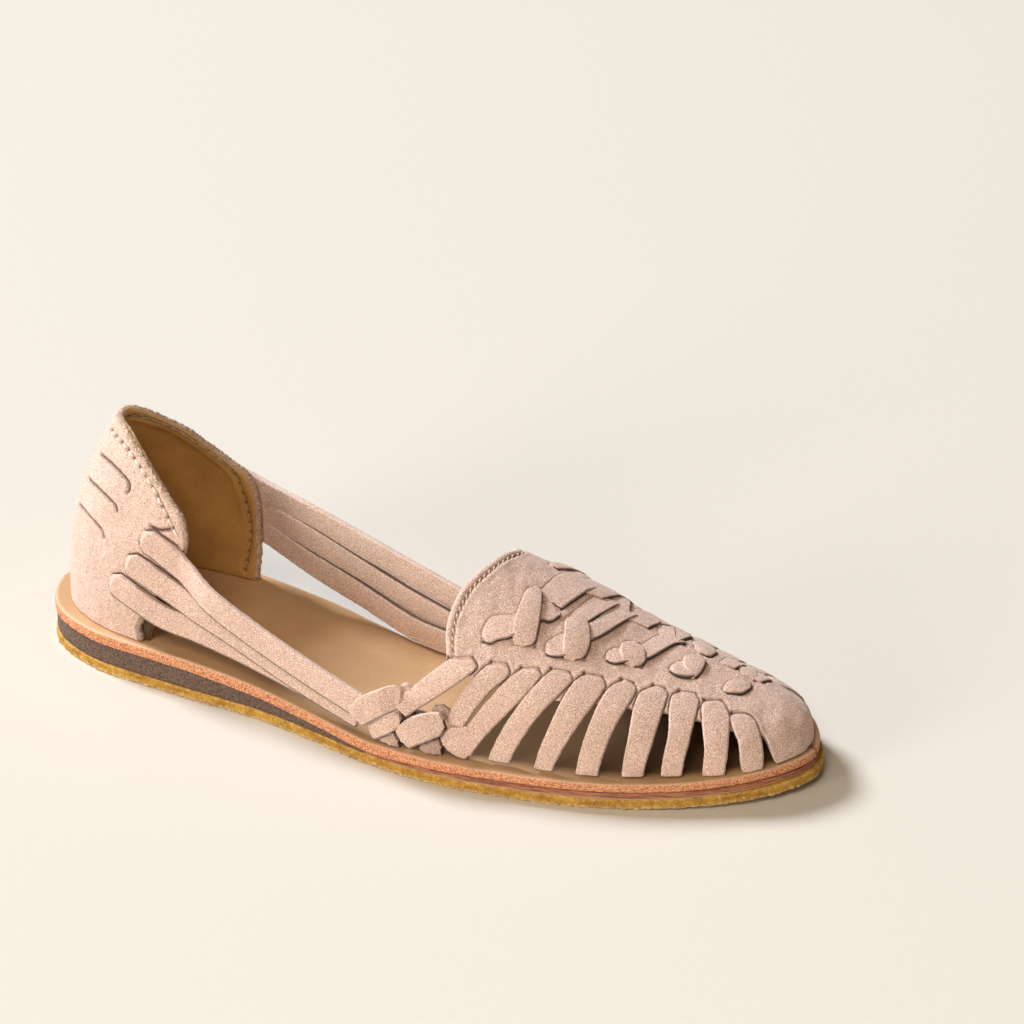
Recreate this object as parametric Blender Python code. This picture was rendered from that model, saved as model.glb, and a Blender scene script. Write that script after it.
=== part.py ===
"""Woven leather flat for the right foot: a sole stack, an insole platform and one hollow upper.

Every driving size is in millimetres and is turned into metres where the meshes are made.
The shoe is laid out on stations: x runs from the back of the heel to the toe tip, the inner
(medial) side of the foot is +y, and z is the height above the floor.
"""
import math

import bmesh
import bpy
import numpy as np

MM = 0.001
LENGTH = 258.0
# The drawing starts at the heel's back edge; the finished object is centred on its own box.
CENTRE_X = LENGTH / 2
CENTRE_Y = -4.7

# Sole outline: station from the heel, inner edge, outer edge.
OUTLINE = (
    (0.0, 2.5, 2.5),
    (6.0, 18.6, -14.0),
    (22.0, 27.8, -24.6),
    (50.0, 29.0, -29.7),
    (85.0, 24.6, -33.7),
    (107.0, 19.0, -39.0),
    (127.0, 15.5, -44.5),
    (155.0, 27.5, -47.6),
    (185.0, 37.3, -44.8),
    (210.0, 37.1, -38.6),
    (232.0, 30.8, -29.0),
    (248.0, 20.8, -15.7),
    (258.0, 4.9, 4.9),
)

# Sole stack.
CREPE_THICK = 3.4
WEDGE_THICK = 6.8
WEDGE_FULL_TO = 58.0
WEDGE_END = 127.0
THIN_EDGE = 1.0
MIDSOLE_THICK = 2.6
MIDSOLE_FULL_FROM = 174.0
INSOLE_HEEL_THICK = 3.8
INSOLE_TOE_THICK = 2.8
INSOLE_THINS = (125.0, 175.0)
SPRING_FROM = 192.0
TOE_SPRING = 3.0
GAP = 0.3
CREPE_INSET = 0.2
WEDGE_INSET = 0.5
MIDSOLE_INSET = 0.6
# Every layer is cut into the same stations, so that the layers bend together.
SOLE_STATIONS = 44
SOLE_BREAKS = (WEDGE_FULL_TO, WEDGE_END, MIDSOLE_FULL_FROM, SPRING_FROM)
TIP = 0.12

# Vamp: the ridge's height above the insole and its sideways place, station by station.
RIDGE = (
    (112.0, 57.0, -5.0),
    (140.0, 53.5, -2.0),
    (153.0, 49.5, -0.8),
    (165.0, 45.0, 1.0),
    (180.0, 38.8, 3.0),
    (200.0, 29.5, 4.0),
    (218.0, 23.3, 4.6),
    (235.0, 17.0, 5.0),
    (244.0, 13.0, 5.0),
    (250.0, 8.4, 5.0),
    (252.4, 4.2, 5.0),
    (253.4, 0.5, 5.0),
)
FEATHER_INSET = 4.6
SECTION_SIDE_POWER = 0.92
SECTION_CROWN_POWER = 0.86
WALL = 2.2
TONGUE_EDGE = 150.0
TONGUE_DIP = 4.0
TONGUE_FADE = 30.0
# Rows across the vamp: evenly spaced on the panel, closer together over the toe cap.
PANEL_ROWS = 12
ROW_PITCH = 8.0
CAP_FROM = 244.5
CAP_ROWS = (247.2, 249.5, 251.3, 252.6, 253.3)
VAMP_FRONT = CAP_ROWS[-1]
PANEL_COLUMNS = 12
SIDE_COLUMNS = 3

# Lower edge of the vamp's centre panel, as a share of the way from the ridge down to the insole.
PANEL_EDGE = (
    (150.0, 0.66),
    (170.0, 0.66),
    (187.0, 0.60),
    (207.0, 0.51),
    (226.0, 0.47),
    (236.0, 0.52),
    (245.0, 0.62),
)

# Ribs: they start side by side on the panel and fan out down to the insole.
RIB_TOP_FIRST = 166.7
RIB_TOP_PITCH = 8.9
RIB_FEET = (150.5, 160.0, 171.0, 185.0, 198.5, 211.0, 222.5, 232.5, 241.5)
RIB_WIDTH = 7.2
RIB_LAP = 0.13
RIB_PROUD = 1.0
RIB_THICK = 2.2
RIB_STEPS = 6

# Heel counter: height above the insole, back edge's station, half width, roundness length.
COUNTER = (
    (0.0, 5.6, 26.6, 42.0),
    (15.0, 5.9, 26.6, 42.0),
    (26.0, 7.2, 25.6, 41.0),
    (36.0, 9.4, 24.0, 40.0),
    (46.0, 12.9, 21.4, 39.0),
    (57.0, 18.0, 17.0, 37.0),
    (66.0, 23.0, 13.0, 34.0),
)
COUNTER_ROUND = 2.1
COUNTER_WALL = 3.0
COUNTER_ROWS = 8
COUNTER_HALF_COLUMNS = 9
# Columns crowd towards the back of the heel, where the curve is tightest.
COUNTER_CROWDING = 1.6
HEEL_AXIS = (2.3, -0.052)
# Rim: distance behind the counter's back edge, height above the insole.
RIM = ((0.0, 66.0), (8.0, 65.0), (16.5, 62.3), (28.0, 56.5), (38.7, 49.5), (46.0, 43.0))
# Front edge of each wing: height above the insole, distance from the counter's back edge.
INNER_FRONT = ((0.0, 50.5), (6.0, 52.5), (16.0, 54.6), (26.0, 53.8), (35.0, 51.0), (43.0, 46.0))
OUTER_FRONT = ((0.0, 34.5), (10.0, 37.5), (20.0, 43.0), (30.0, 49.0), (36.0, 50.0), (43.0, 46.0))

# Side straps: where each leaves its slit and its wing (station, height above the insole on the
# counter), then the centre line's free points (station, y, z).
STRAP_WIDTH = 8.0
STRAP_THICK = 2.2
STRAP_LIFT = 0.3
STRAP_LEAN = 0.1
STRAP_STEPS = 9
OUTER_STRAPS = (
    ((44.0, 36.4), (60.0, 30.4), (98.0, -35.0, 29.6), (137.0, -41.7, 14.8)),
    ((38.0, 27.6), (56.0, 21.2), (97.0, -35.8, 23.7), (138.0, -42.5, 13.0)),
    ((32.0, 18.0), (52.0, 12.4), (93.0, -36.4, 19.2), (134.0, -43.2, 12.6)),
)
INNER_STRAPS = (
    ((46.0, 34.4), (60.0, 33.0), (128.0, 13.6, 29.4), (146.0, 15.6, 24.6)),
    ((46.0, 26.4), (60.0, 25.0), (128.0, 13.3, 21.2), (141.0, 15.0, 17.4)),
    ((46.0, 18.8), (60.0, 17.0), (128.0, 13.0, 13.8), (140.0, 14.4, 12.6)),
)

# Corner bands by the sole edge: (station, share) of both ends, width, and how proud they lie.
CORNER_BANDS = (
    ((157.0, 0.60), (135.0, 0.92), 8.0, 1.5),
    ((127.0, 0.86), (147.0, 0.955), 9.0, 2.2),
    ((131.0, 0.965), (153.0, 0.89), 7.0, 0.5),
)


def smooth_step(t):
    """Ease from 0 to 1."""
    t = min(max(t, 0.0), 1.0)
    return t * t * (3 - 2 * t)


def read_curve(table, x, column=1):
    """Value of a table's column at x, on a smooth curve through its rows."""
    keys = [row[0] for row in table]
    values = [row[column] for row in table]
    if x <= keys[0]:
        return values[0]
    if x >= keys[-1]:
        return values[-1]
    i = max(k for k in range(len(keys) - 1) if keys[k] <= x)
    span = keys[i + 1] - keys[i]
    t = (x - keys[i]) / span

    def slope(k):
        low = max(k - 1, 0)
        high = min(k + 1, len(keys) - 1)
        return (values[high] - values[low]) / (keys[high] - keys[low])

    a = values[i] * (1 + 2 * t) * (1 - t) ** 2
    b = values[i + 1] * t * t * (3 - 2 * t)
    tangents = slope(i) * t * (1 - t) ** 2 - slope(i + 1) * t * t * (1 - t)
    return a + b + tangents * span


def between(values, knots, u, j, reach, first):
    """One blend of a Catmull-Rom pyramid: values j and j + 1 mixed for parameter u."""
    a, b = values[j - first], values[j - first + 1]
    share = (u - knots[j]) / (knots[j + reach] - knots[j])
    return a + (b - a) * share


def closed_curve(points, steps):
    """Centripetal Catmull-Rom curve round a closed ring of points."""
    ring = [np.array(p, float) for p in points]
    count = len(ring)
    out = []
    for i in range(count):
        p = [ring[i - 1], ring[i], ring[(i + 1) % count], ring[(i + 2) % count]]
        t = [0.0]
        for a, b in zip(p, p[1:]):
            t.append(t[-1] + math.sqrt(np.linalg.norm(b - a)))
        for k in range(steps):
            u = t[1] + (t[2] - t[1]) * k / steps
            layer = p
            for reach, span in ((1, (0, 1, 2)), (2, (0, 1)), (1, (1,))):
                layer = [between(layer, t, u, j, reach, span[0]) for j in span]
            out.append(layer[0])
    return np.array(out)


def edge_tables(inset):
    """The outline moved inwards, as two tables of x and y: the inner edge and the outer edge."""
    inner = [(x, m) for x, m, _ in OUTLINE]
    outer = [(x, o) for x, _, o in OUTLINE][-2:0:-1]
    ring = closed_curve(inner + outer, 16)
    tangent = np.roll(ring, -1, 0) - np.roll(ring, 1, 0)
    tangent /= np.linalg.norm(tangent, axis=1)[:, None]
    ring = ring + inset * np.column_stack((tangent[:, 1], -tangent[:, 0]))
    half = len(ring) // 2
    sides = []
    for part in (ring[: half + 1], np.vstack((ring[half:], ring[:1]))):
        order = np.argsort(part[:, 0])
        sides.append((part[order, 0], part[order, 1]))
    return sides


_edges = {}


def edge_y(x, side, inset):
    """Y of the outline at station x: side 1 is the inner edge, -1 the outer edge."""
    key = round(inset, 3)
    if key not in _edges:
        _edges[key] = edge_tables(key)
    xs, ys = _edges[key][0 if side > 0 else 1]
    return float(np.interp(x, xs, ys))


def floor_z(x):
    return TOE_SPRING * max(0.0, (x - SPRING_FROM) / (LENGTH - SPRING_FROM)) ** 2


def crepe_top(x):
    return floor_z(x) + CREPE_THICK


def filler_thick(x):
    """Thickness of the wedge or the midsole between crepe and insole."""
    if x <= WEDGE_END:
        drop = max(0.0, (x - WEDGE_FULL_TO) / (WEDGE_END - WEDGE_FULL_TO))
        return WEDGE_THICK + (THIN_EDGE - WEDGE_THICK) * drop
    rise = smooth_step((x - WEDGE_END) / (MIDSOLE_FULL_FROM - WEDGE_END))
    return THIN_EDGE + (MIDSOLE_THICK - THIN_EDGE) * rise


def insole_bottom(x):
    return crepe_top(x) + filler_thick(x)


def insole_top(x):
    thin = smooth_step((x - INSOLE_THINS[0]) / (INSOLE_THINS[1] - INSOLE_THINS[0]))
    return insole_bottom(x) + INSOLE_HEEL_THICK + (INSOLE_TOE_THICK - INSOLE_HEEL_THICK) * thin


def place(point):
    """Station coordinates in millimetres to the object's frame in metres."""
    x, y, z = point
    return ((x - CENTRE_X) * MM, (y - CENTRE_Y) * MM, z * MM)


def material(name, colour, roughness):
    """A plain Principled material."""
    made = bpy.data.materials.new(name)
    made.use_nodes = True
    shader = made.node_tree.nodes["Principled BSDF"]
    shader.inputs["Base Color"].default_value = (*colour, 1.0)
    shader.inputs["Roughness"].default_value = roughness
    return made


def add_object(name, points, faces, made):
    """A mesh object from station points; its faces look out."""
    mesh = bpy.data.meshes.new(name)
    mesh.from_pydata([place(p) for p in points], [], faces)
    solid = bmesh.new()
    solid.from_mesh(mesh)
    bmesh.ops.recalc_face_normals(solid, faces=solid.faces)
    solid.to_mesh(mesh)
    solid.free()
    mesh.materials.append(made)
    thing = bpy.data.objects.new(name, mesh)
    bpy.context.scene.collection.objects.link(thing)
    return thing


def sole_stations(x_from, x_to):
    """Stations of a layer: its two ends and the stations that all the layers share between them."""
    shared = [LENGTH * (1 - math.cos(math.pi * i / SOLE_STATIONS)) / 2 for i in range(SOLE_STATIONS + 1)]
    shared = sorted(shared + list(SOLE_BREAKS))
    return [x_from] + [x for x in shared if x_from + TIP < x < x_to - TIP] + [x_to]


def slab(x_from, x_to, inset, low, high):
    """Points and faces of a sheet between two heights that follows the sole's outline."""
    points = []
    faces = []
    stations = sole_stations(x_from, x_to)
    for x in stations:
        outer = edge_y(x, -1, inset)
        inner = edge_y(x, 1, inset)
        points += [(x, outer, low(x)), (x, inner, low(x)), (x, inner, high(x)), (x, outer, high(x))]
    last = 4 * (len(stations) - 1)
    for a in range(0, last, 4):
        for k in range(4):
            j = (k + 1) % 4
            faces.append((a + k, a + 4 + k, a + 4 + j, a + j))
    faces.append((0, 1, 2, 3))
    faces.append((last + 3, last + 2, last + 1, last))
    return points, faces


def heel_tip(inset):
    """Station by the heel's back where an inset outline is a few millimetres wide."""
    return inset + TIP


def toe_tip(inset):
    """Station by the toe where an inset outline is a few millimetres wide."""
    return LENGTH - inset - TIP


def filler_bottom(x):
    return crepe_top(x) + GAP


def filler_top(x):
    return insole_bottom(x) - GAP


def build_sole():
    """Outsole, wedge, midsole and insole."""
    crepe = material("crepe_rubber", (0.56, 0.36, 0.12), 0.75)
    points, faces = slab(heel_tip(CREPE_INSET), toe_tip(CREPE_INSET), CREPE_INSET, floor_z, crepe_top)
    add_object("outsole", points, faces, crepe)

    foam = material("wedge_rubber", (0.10, 0.075, 0.06), 0.85)
    points, faces = slab(heel_tip(WEDGE_INSET), WEDGE_END, WEDGE_INSET, filler_bottom, filler_top)
    add_object("heel_wedge", points, faces, foam)

    leather = material("midsole_leather", (0.36, 0.12, 0.06), 0.6)
    start = WEDGE_END + GAP
    points, faces = slab(start, toe_tip(MIDSOLE_INSET), MIDSOLE_INSET, filler_bottom, filler_top)
    add_object("forefoot_midsole", points, faces, leather)

    tan = material("insole_leather", (0.50, 0.29, 0.14), 0.5)
    points, faces = slab(heel_tip(0.0), toe_tip(0.0), 0.0, insole_bottom, insole_top)
    add_object("insole", points, faces, tan)


def ridge_height(x, depth):
    """Ridge height above the insole for the surface that lies depth inside the outer one."""
    slope = (read_curve(RIDGE, x + 1.0) - read_curve(RIDGE, x - 1.0)) / 2
    return max(0.4, read_curve(RIDGE, x) - depth * math.hypot(1.0, slope))


def last_point(x, share, depth=0.0):
    """Point of the forefoot: share -1 is the outer feather edge, 0 the ridge, 1 the inner edge."""
    inset = FEATHER_INSET + depth
    ridge_y = read_curve(RIDGE, x, 2)
    edge = edge_y(min(x, LENGTH - inset - 0.05), 1 if share > 0 else -1, inset)
    angle = abs(share) * math.pi / 2
    y = ridge_y + (edge - ridge_y) * math.sin(angle) ** SECTION_SIDE_POWER
    crown = max(math.cos(angle), 0.0) ** SECTION_CROWN_POWER
    return (x, y, insole_top(x) + GAP + ridge_height(x, depth) * crown)


def shell(outer, inner, present=lambda i, j: True):
    """Closed solid between two point grids, with walls round every open border."""
    rows = len(outer)
    columns = len(outer[0])
    points = [p for row in outer for p in row] + [p for row in inner for p in row]
    under = rows * columns

    def index(i, j):
        return i * columns + j

    faces = []
    cells = {(i, j) for i in range(rows - 1) for j in range(columns - 1) if present(i, j)}
    for i, j in sorted(cells):
        a, b, c, d = index(i, j), index(i + 1, j), index(i + 1, j + 1), index(i, j + 1)
        faces.append((a, b, c, d))
        faces.append((d + under, c + under, b + under, a + under))
        borders = (((i, j - 1), a, b), ((i + 1, j), b, c), ((i, j + 1), c, d), ((i - 1, j), d, a))
        for neighbour, start, end in borders:
            if neighbour not in cells:
                faces.append((end, start, start + under, end + under))
    used = sorted({k for face in faces for k in face})
    renumber = {old: new for new, old in enumerate(used)}
    return [points[k] for k in used], [tuple(renumber[k] for k in face) for face in faces]


def vamp_stations():
    """Rows of the vamp from the tongue's edge to the toe."""
    return [TONGUE_EDGE + ROW_PITCH * i for i in range(PANEL_ROWS)] + [CAP_FROM, *CAP_ROWS]


def vamp_grid(depth):
    """Points of the vamp at a depth inside its outer surface."""
    grid = []
    for x_row in vamp_stations():
        edge = read_curve(PANEL_EDGE, x_row)
        shares = [-1 + (1 - edge) * k / SIDE_COLUMNS for k in range(SIDE_COLUMNS)]
        shares += [-edge + 2 * edge * k / PANEL_COLUMNS for k in range(PANEL_COLUMNS)]
        shares += [edge + (1 - edge) * k / SIDE_COLUMNS for k in range(SIDE_COLUMNS + 1)]
        fade = max(0.0, 1 - (x_row - TONGUE_EDGE) / TONGUE_FADE)
        squeeze = (VAMP_FRONT - depth - CAP_FROM) / (VAMP_FRONT - CAP_FROM)
        x_here = x_row if x_row <= CAP_FROM else CAP_FROM + (x_row - CAP_FROM) * squeeze
        row = []
        for share in shares:
            bow = max(1 - (share / PANEL_EDGE[0][1]) ** 2, 0.0)
            row.append(last_point(x_here + TONGUE_DIP * fade * bow, share, depth))
        grid.append(row)
    return grid


def vamp_solid():
    """Centre panel and toe cap as one wall."""
    rows = vamp_stations()

    def present(i, j):
        in_panel = SIDE_COLUMNS <= j < SIDE_COLUMNS + PANEL_COLUMNS
        return in_panel or rows[i] >= CAP_FROM

    return shell(vamp_grid(0.0), vamp_grid(WALL), present)


def across_step(x, share, run_x, run_share):
    """Change of station and share for 1 mm square to a direction on the forefoot's surface."""
    d_x = np.array(last_point(x + 0.5, share)) - last_point(x - 0.5, share)
    d_share = (np.array(last_point(x, share + 0.01)) - last_point(x, share - 0.01)) / 0.02
    e, f, g = np.dot(d_x, d_x), np.dot(d_x, d_share), np.dot(d_share, d_share)
    step_x = -(f * run_x + g * run_share)
    step_share = e * run_x + f * run_share
    length = math.sqrt(e * step_x**2 + 2 * f * step_x * step_share + g * step_share**2)
    return step_x / length, step_share / length


def band_on_last(start, end, side, width, proud):
    """A strap laid on the forefoot from one (station, share) to another."""
    run_x = end[0] - start[0]
    run_share = side * (end[1] - start[1])
    outer = []
    inner = []
    for i in range(RIB_STEPS + 1):
        x = start[0] + run_x * i / RIB_STEPS
        share = side * start[1] + run_share * i / RIB_STEPS
        step_x, step_share = across_step(x, side * min(abs(share), 0.98), run_x, run_share)
        edges = [(x + k * step_x, share + k * step_share) for k in (-width / 2, width / 2)]
        edges = [(at, math.copysign(min(abs(s), 1.0), s)) for at, s in edges]
        outer.append([last_point(at, s, -proud) for at, s in edges])
        inner.append([last_point(at, s, RIB_THICK - proud) for at, s in edges])
    return shell(outer, inner)


def rib_solids(side):
    """Ribs from the panel down to the insole."""
    made = []
    for i, foot in enumerate(RIB_FEET):
        top = RIB_TOP_FIRST + RIB_TOP_PITCH * i
        start = (top, read_curve(PANEL_EDGE, top) - RIB_LAP)
        made.append(band_on_last(start, (foot, 1.0), side, RIB_WIDTH, RIB_PROUD))
    return made


def counter_point(height, behind, side, depth):
    """Point of the heel counter: behind is the distance from its back edge along the shoe."""
    back = read_curve(COUNTER, height, 1)
    half = read_curve(COUNTER, height, 2) - depth
    length = read_curve(COUNTER, height, 3)
    near = max(0.0, 1 - behind / length)
    y = half * (1 - near ** COUNTER_ROUND) ** (1 / COUNTER_ROUND)
    x = back + depth + behind * (length - depth) / length
    axis = HEEL_AXIS[0] + HEEL_AXIS[1] * x
    return (x, axis + side * y, insole_top(x) + GAP + height)


def counter_grid(depth):
    """Columns run from the outer wing's front round the back to the inner wing's front."""
    grid = []
    for i in range(COUNTER_ROWS + 1):
        row = []
        for j in range(-COUNTER_HALF_COLUMNS, COUNTER_HALF_COLUMNS + 1):
            share = (abs(j) / COUNTER_HALF_COLUMNS) ** COUNTER_CROWDING
            side = -1 if j < 0 else 1
            height = read_curve(RIM, share * RIM[-1][0]) * i / COUNTER_ROWS
            front = read_curve(OUTER_FRONT if side < 0 else INNER_FRONT, height)
            row.append(counter_point(height, share * front, side, depth))
        grid.append(row)
    return grid


def counter_solid():
    return shell(counter_grid(0.0), counter_grid(COUNTER_WALL))


def path_point(path, t):
    """Point on a strap's centre line, t from 0 to 1."""
    keys = [i / (len(path) - 1) for i in range(len(path))]
    return np.array([read_curve([(k, p[c]) for k, p in zip(keys, path)], t) for c in range(3)])


def strap_path(strap, side):
    """Centre line of a side strap: on the counter first, then free to the corner bands."""
    points = []
    for x, height in strap[:2]:
        behind = x - read_curve(COUNTER, height, 1)
        points.append(counter_point(height, behind, side, -STRAP_LIFT))
    leave, rest = points[-1], strap[2]
    points.append(tuple((a + b) / 2 for a, b in zip(leave, rest)))
    return points + list(strap[2:])


def strap_solid(strap, side):
    """A flat side strap standing on edge, its flat face following the foot's side."""
    path = strap_path(strap, side)
    outer = []
    inner = []
    for i in range(STRAP_STEPS + 1):
        t = i / STRAP_STEPS
        centre = path_point(path, t)
        run = path_point(path, min(t + 0.02, 1.0)) - path_point(path, max(t - 0.02, 0.0))
        run /= np.linalg.norm(run)
        up = np.array((0.0, -side * STRAP_LEAN, 1.0))
        up -= run * np.dot(up, run)
        up /= np.linalg.norm(up)
        out = np.cross(run, up) * STRAP_THICK / 2
        edges = [centre + up * (k * STRAP_WIDTH / 2) for k in (-1, 1)]
        outer.append([tuple(edge + out) for edge in edges])
        inner.append([tuple(edge - out) for edge in edges])
    return shell(outer, inner)


def build_upper():
    """Counter, straps, ribs, corner bands and vamp joined into one wall."""
    suede = material("suede", (0.58, 0.40, 0.33), 0.9)
    points, faces = vamp_solid()
    upper = add_object("upper", points, faces, suede)

    solids = [counter_solid()]
    for side in (-1, 1):
        solids += rib_solids(side)
        for start, end, width, proud in CORNER_BANDS:
            solids.append(band_on_last(start, end, side, width, proud))
    solids += [strap_solid(path, -1) for path in OUTER_STRAPS]
    solids += [strap_solid(path, 1) for path in INNER_STRAPS]

    parts = bpy.data.collections.new("upper_parts")
    bpy.context.scene.collection.children.link(parts)
    for i, (points, faces) in enumerate(solids):
        piece = add_object(f"upper_piece_{i:02d}", points, faces, suede)
        bpy.context.scene.collection.objects.unlink(piece)
        parts.objects.link(piece)
        piece.hide_render = True
        piece.display_type = "WIRE"

    join = upper.modifiers.new("join", "BOOLEAN")
    join.operation = "UNION"
    join.solver = "EXACT"
    join.operand_type = "COLLECTION"
    join.collection = parts
    join.use_self = True


def main():
    for thing in list(bpy.data.objects):
        bpy.data.objects.remove(thing)
    build_sole()
    build_upper()


main()
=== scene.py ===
"""Looks of the woven suede flat for the right foot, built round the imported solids.

The shoe is laid out on stations in millimetres: x runs from the back of the heel to the toe tip,
the inner side of the foot is +y, and z is the height above the floor. to_frame() turns stations
into the frame's metres. The forefoot's surface is read by station and share: share -1 is the
outer edge by the insole, 0 the ridge and +1 the inner edge.
"""
import functools
import math

import bmesh
import bpy
import numpy as np
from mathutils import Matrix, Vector
from mathutils.kdtree import KDTree


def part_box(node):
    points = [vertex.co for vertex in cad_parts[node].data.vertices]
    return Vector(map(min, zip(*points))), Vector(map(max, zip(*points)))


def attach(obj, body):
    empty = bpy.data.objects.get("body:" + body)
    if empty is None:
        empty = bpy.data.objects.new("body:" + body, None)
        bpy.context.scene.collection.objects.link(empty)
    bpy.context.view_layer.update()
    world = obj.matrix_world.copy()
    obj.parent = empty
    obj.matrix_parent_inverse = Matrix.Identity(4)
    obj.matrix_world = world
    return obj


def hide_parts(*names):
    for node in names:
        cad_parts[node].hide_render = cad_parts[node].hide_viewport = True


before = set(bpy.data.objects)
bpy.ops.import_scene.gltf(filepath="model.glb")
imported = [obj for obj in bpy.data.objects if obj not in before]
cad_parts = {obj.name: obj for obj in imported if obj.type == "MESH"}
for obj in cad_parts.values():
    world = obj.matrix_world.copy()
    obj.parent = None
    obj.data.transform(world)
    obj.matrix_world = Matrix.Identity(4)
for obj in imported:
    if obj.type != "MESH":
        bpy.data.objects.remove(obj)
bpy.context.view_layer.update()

MM = 0.001
LENGTH = 258.0
GAP = 0.3
# The shoe's sides, as their sign in y and their name.
SIDES = ((-1, "outer"), (1, "inner"))

# Sole outline: station from the heel, inner edge, outer edge.
OUTLINE = (
    (0, 2.5, 2.5), (6, 18.6, -14), (22, 27.8, -24.6), (50, 29, -29.7), (85, 24.6, -33.7),
    (107, 19, -39), (127, 15.5, -44.5), (155, 27.5, -47.6), (185, 37.3, -44.8), (210, 37.1, -38.6),
    (232, 30.8, -28.8), (250.4, 18.4, -14.4), (258, -0.2, -0.2),
)
CREPE_THICK = 3.4
WEDGE_THICK = 6.8
WEDGE_FULL_TO = 58.0
WEDGE_END = 127.0
THIN_EDGE = 1.0
MIDSOLE_THICK = 2.6
MIDSOLE_FULL_FROM = 174.0
INSOLE_HEEL_THICK = 3.8
INSOLE_TOE_THICK = 2.8
INSOLE_THINS = (125, 175)
SPRING_FROM = 192.0
TOE_SPRING = 3.0
SOLE_STATIONS = 440
SOLE_FROM = 0.003
SOLE_TO = LENGTH - SOLE_FROM
OUTLINE_STEPS = 40
# Space left over and under the wedge and the midsole.
FILLER_GAP = 0.02
# Painted shade on the insole inside the toe, under the vamp: station where it begins and length over which
# it grows.
SHADED_FROM = (140.0, 22.0)
# The crepe stands out round the toe over this length, so much longer and by this share wider.
CREPE_TOE = 36.0
CREPE_TOE_LONGER = 1.5
CREPE_TOE_WIDER = 0.02

# Forefoot ridge: station, height above the insole, sideways place.
RIDGE = (
    (112, 57, -5), (140, 53.5, -2), (153, 49.5, -0.8), (165, 45, 1), (180, 38.8, 3), (200, 29.5, 4),
    (218, 23.3, 4.6), (235, 17, 5), (244, 13.2, 4.3), (250, 9.8, 2.9), (254, 6, 1.2), (255.2, 2.1, 0.4),
    (255.7, 0.1, 0), (256.5, 0.1, 0),
)
# Where the upper meets the insole: station, distance from the sole's outline.
FEATHER = (
    (110, 4.6), (170, 4.2), (190, 3.3), (205, 3.5), (220, 4), (230, 3.4), (237, 2), (244, 1.5),
    (250, 1.4), (254, 1.8), (258, 2),
)
# How much lower the inner flank lies than the outer one: station, drop.
INNER_DROP = ((110, 0), (172, 0.6), (186, 3), (220, 3.2), (234, 2.4), (246, 1.6), (256, 0))
SECTION_SIDE_POWER = 0.92
SECTION_CROWN_POWER = 0.86
LEAST_RIDGE = 0.1
# Shares where that drop begins and where it ends, each with the length it takes.
DROP_BEGINS = (0.08, 0.3)
DROP_ENDS = (0.55, 0.4)
# Stations and share up to which the forefoot's slopes are read; beyond, they are held.
SLOPE_STATIONS = (118.0, 254.8)
SLOPE_SHARE = 0.985

# Vamp panel: lower edge as a share, station by station; it runs on as the toe cap's edge.
PANEL_EDGE = (
    (148, 0.66), (170, 0.66), (178, 0.645), (187, 0.615), (197, 0.552), (207, 0.52), (217, 0.492),
    (226.5, 0.488), (235, 0.5), (240.5, 0.49), (244, 0.478), (246, 0.53), (247.9, 0.675),
    (249.3, 0.855), (250.2, 1), (256, 1),
)
PANEL_THICK = 2.0
PANEL_FROM = 148.4
# Rear edge of the tongue: share (outer side negative), distance in front of PANEL_FROM.
TONGUE = (
    (-1, 5.5), (-0.62, 2.5), (-0.525, 0.8), (-0.429, 0.3), (-0.298, 1.1), (-0.186, 2.9), (-0.061, 5),
    (0.05, 7), (0.14, 7.6), (0.24, 6.2), (0.36, 3.6), (0.48, 1.6), (0.62, 2.5), (1, 5.5),
)
TONGUE_FADE = 34.0
VAMP_FRONT = 255.7
PANEL_CELL = 0.47
PANEL_ACROSS = 96.0
TONGUE_SEAM = 2.4

# Ribs, one row a rib from the heel to the toe: its rear and its front edge from the top corner to
# the foot, each as places (station, share).
RIBS = (
    (((152, 0.622), (149.5, 0.668), (143.5, 0.765), (136.7, 0.852)),
     ((158.9, 0.577), (161, 0.618), (152.5, 0.765), (141.9, 0.892))),
    (((165.1, 0.567), (162.9, 0.606), (157.3, 0.755), (153.4, 0.875)),
     ((169.6, 0.545), (171, 0.588), (166, 0.71), (159.4, 0.885))),
    (((174.1, 0.538), (171.9, 0.586), (165.5, 0.753), (156, 0.985)),
     ((178.8, 0.503), (180.2, 0.54), (174.6, 0.727), (162.3, 0.985))),
    (((182.5, 0.477), (180.6, 0.538), (174.5, 0.75), (167.6, 0.985)),
     ((187.4, 0.448), (189.1, 0.49), (183, 0.71), (174.6, 0.985))),
    (((191.7, 0.42), (189.5, 0.49), (185.8, 0.766), (182.2, 0.985)),
     ((196.6, 0.391), (198.5, 0.446), (194.6, 0.7), (188.2, 0.985))),
    (((202, 0.362), (199.1, 0.457), (196.9, 0.734), (195, 0.985)),
     ((205.3, 0.356), (207.1, 0.41), (204.9, 0.65), (201.7, 0.985))),
    (((211, 0.33), (208, 0.423), (208.9, 0.72), (208.4, 0.985)),
     ((214.2, 0.327), (215.9, 0.375), (216.2, 0.7), (214.6, 0.985))),
    (((218.5, 0.311), (216.9, 0.375), (219.7, 0.66), (219.4, 0.985)),
     ((222.8, 0.288), (224.9, 0.356), (226.1, 0.69), (225.4, 0.985))),
    (((226, 0.32), (225.8, 0.37), (228.1, 0.522), (230.7, 0.752), (231, 0.985)),
     ((230.4, 0.27), (232.6, 0.32), (235, 0.42), (237.3, 0.725), (237.4, 0.985))),
    (((234.9, 0.35), (234.6, 0.404), (236.5, 0.484), (239.6, 0.64), (241.8, 0.985)),
     ((238.6, 0.308), (240.6, 0.332), (242.6, 0.402), (245.3, 0.583), (246.8, 0.813), (247, 0.985))),
)
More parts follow.
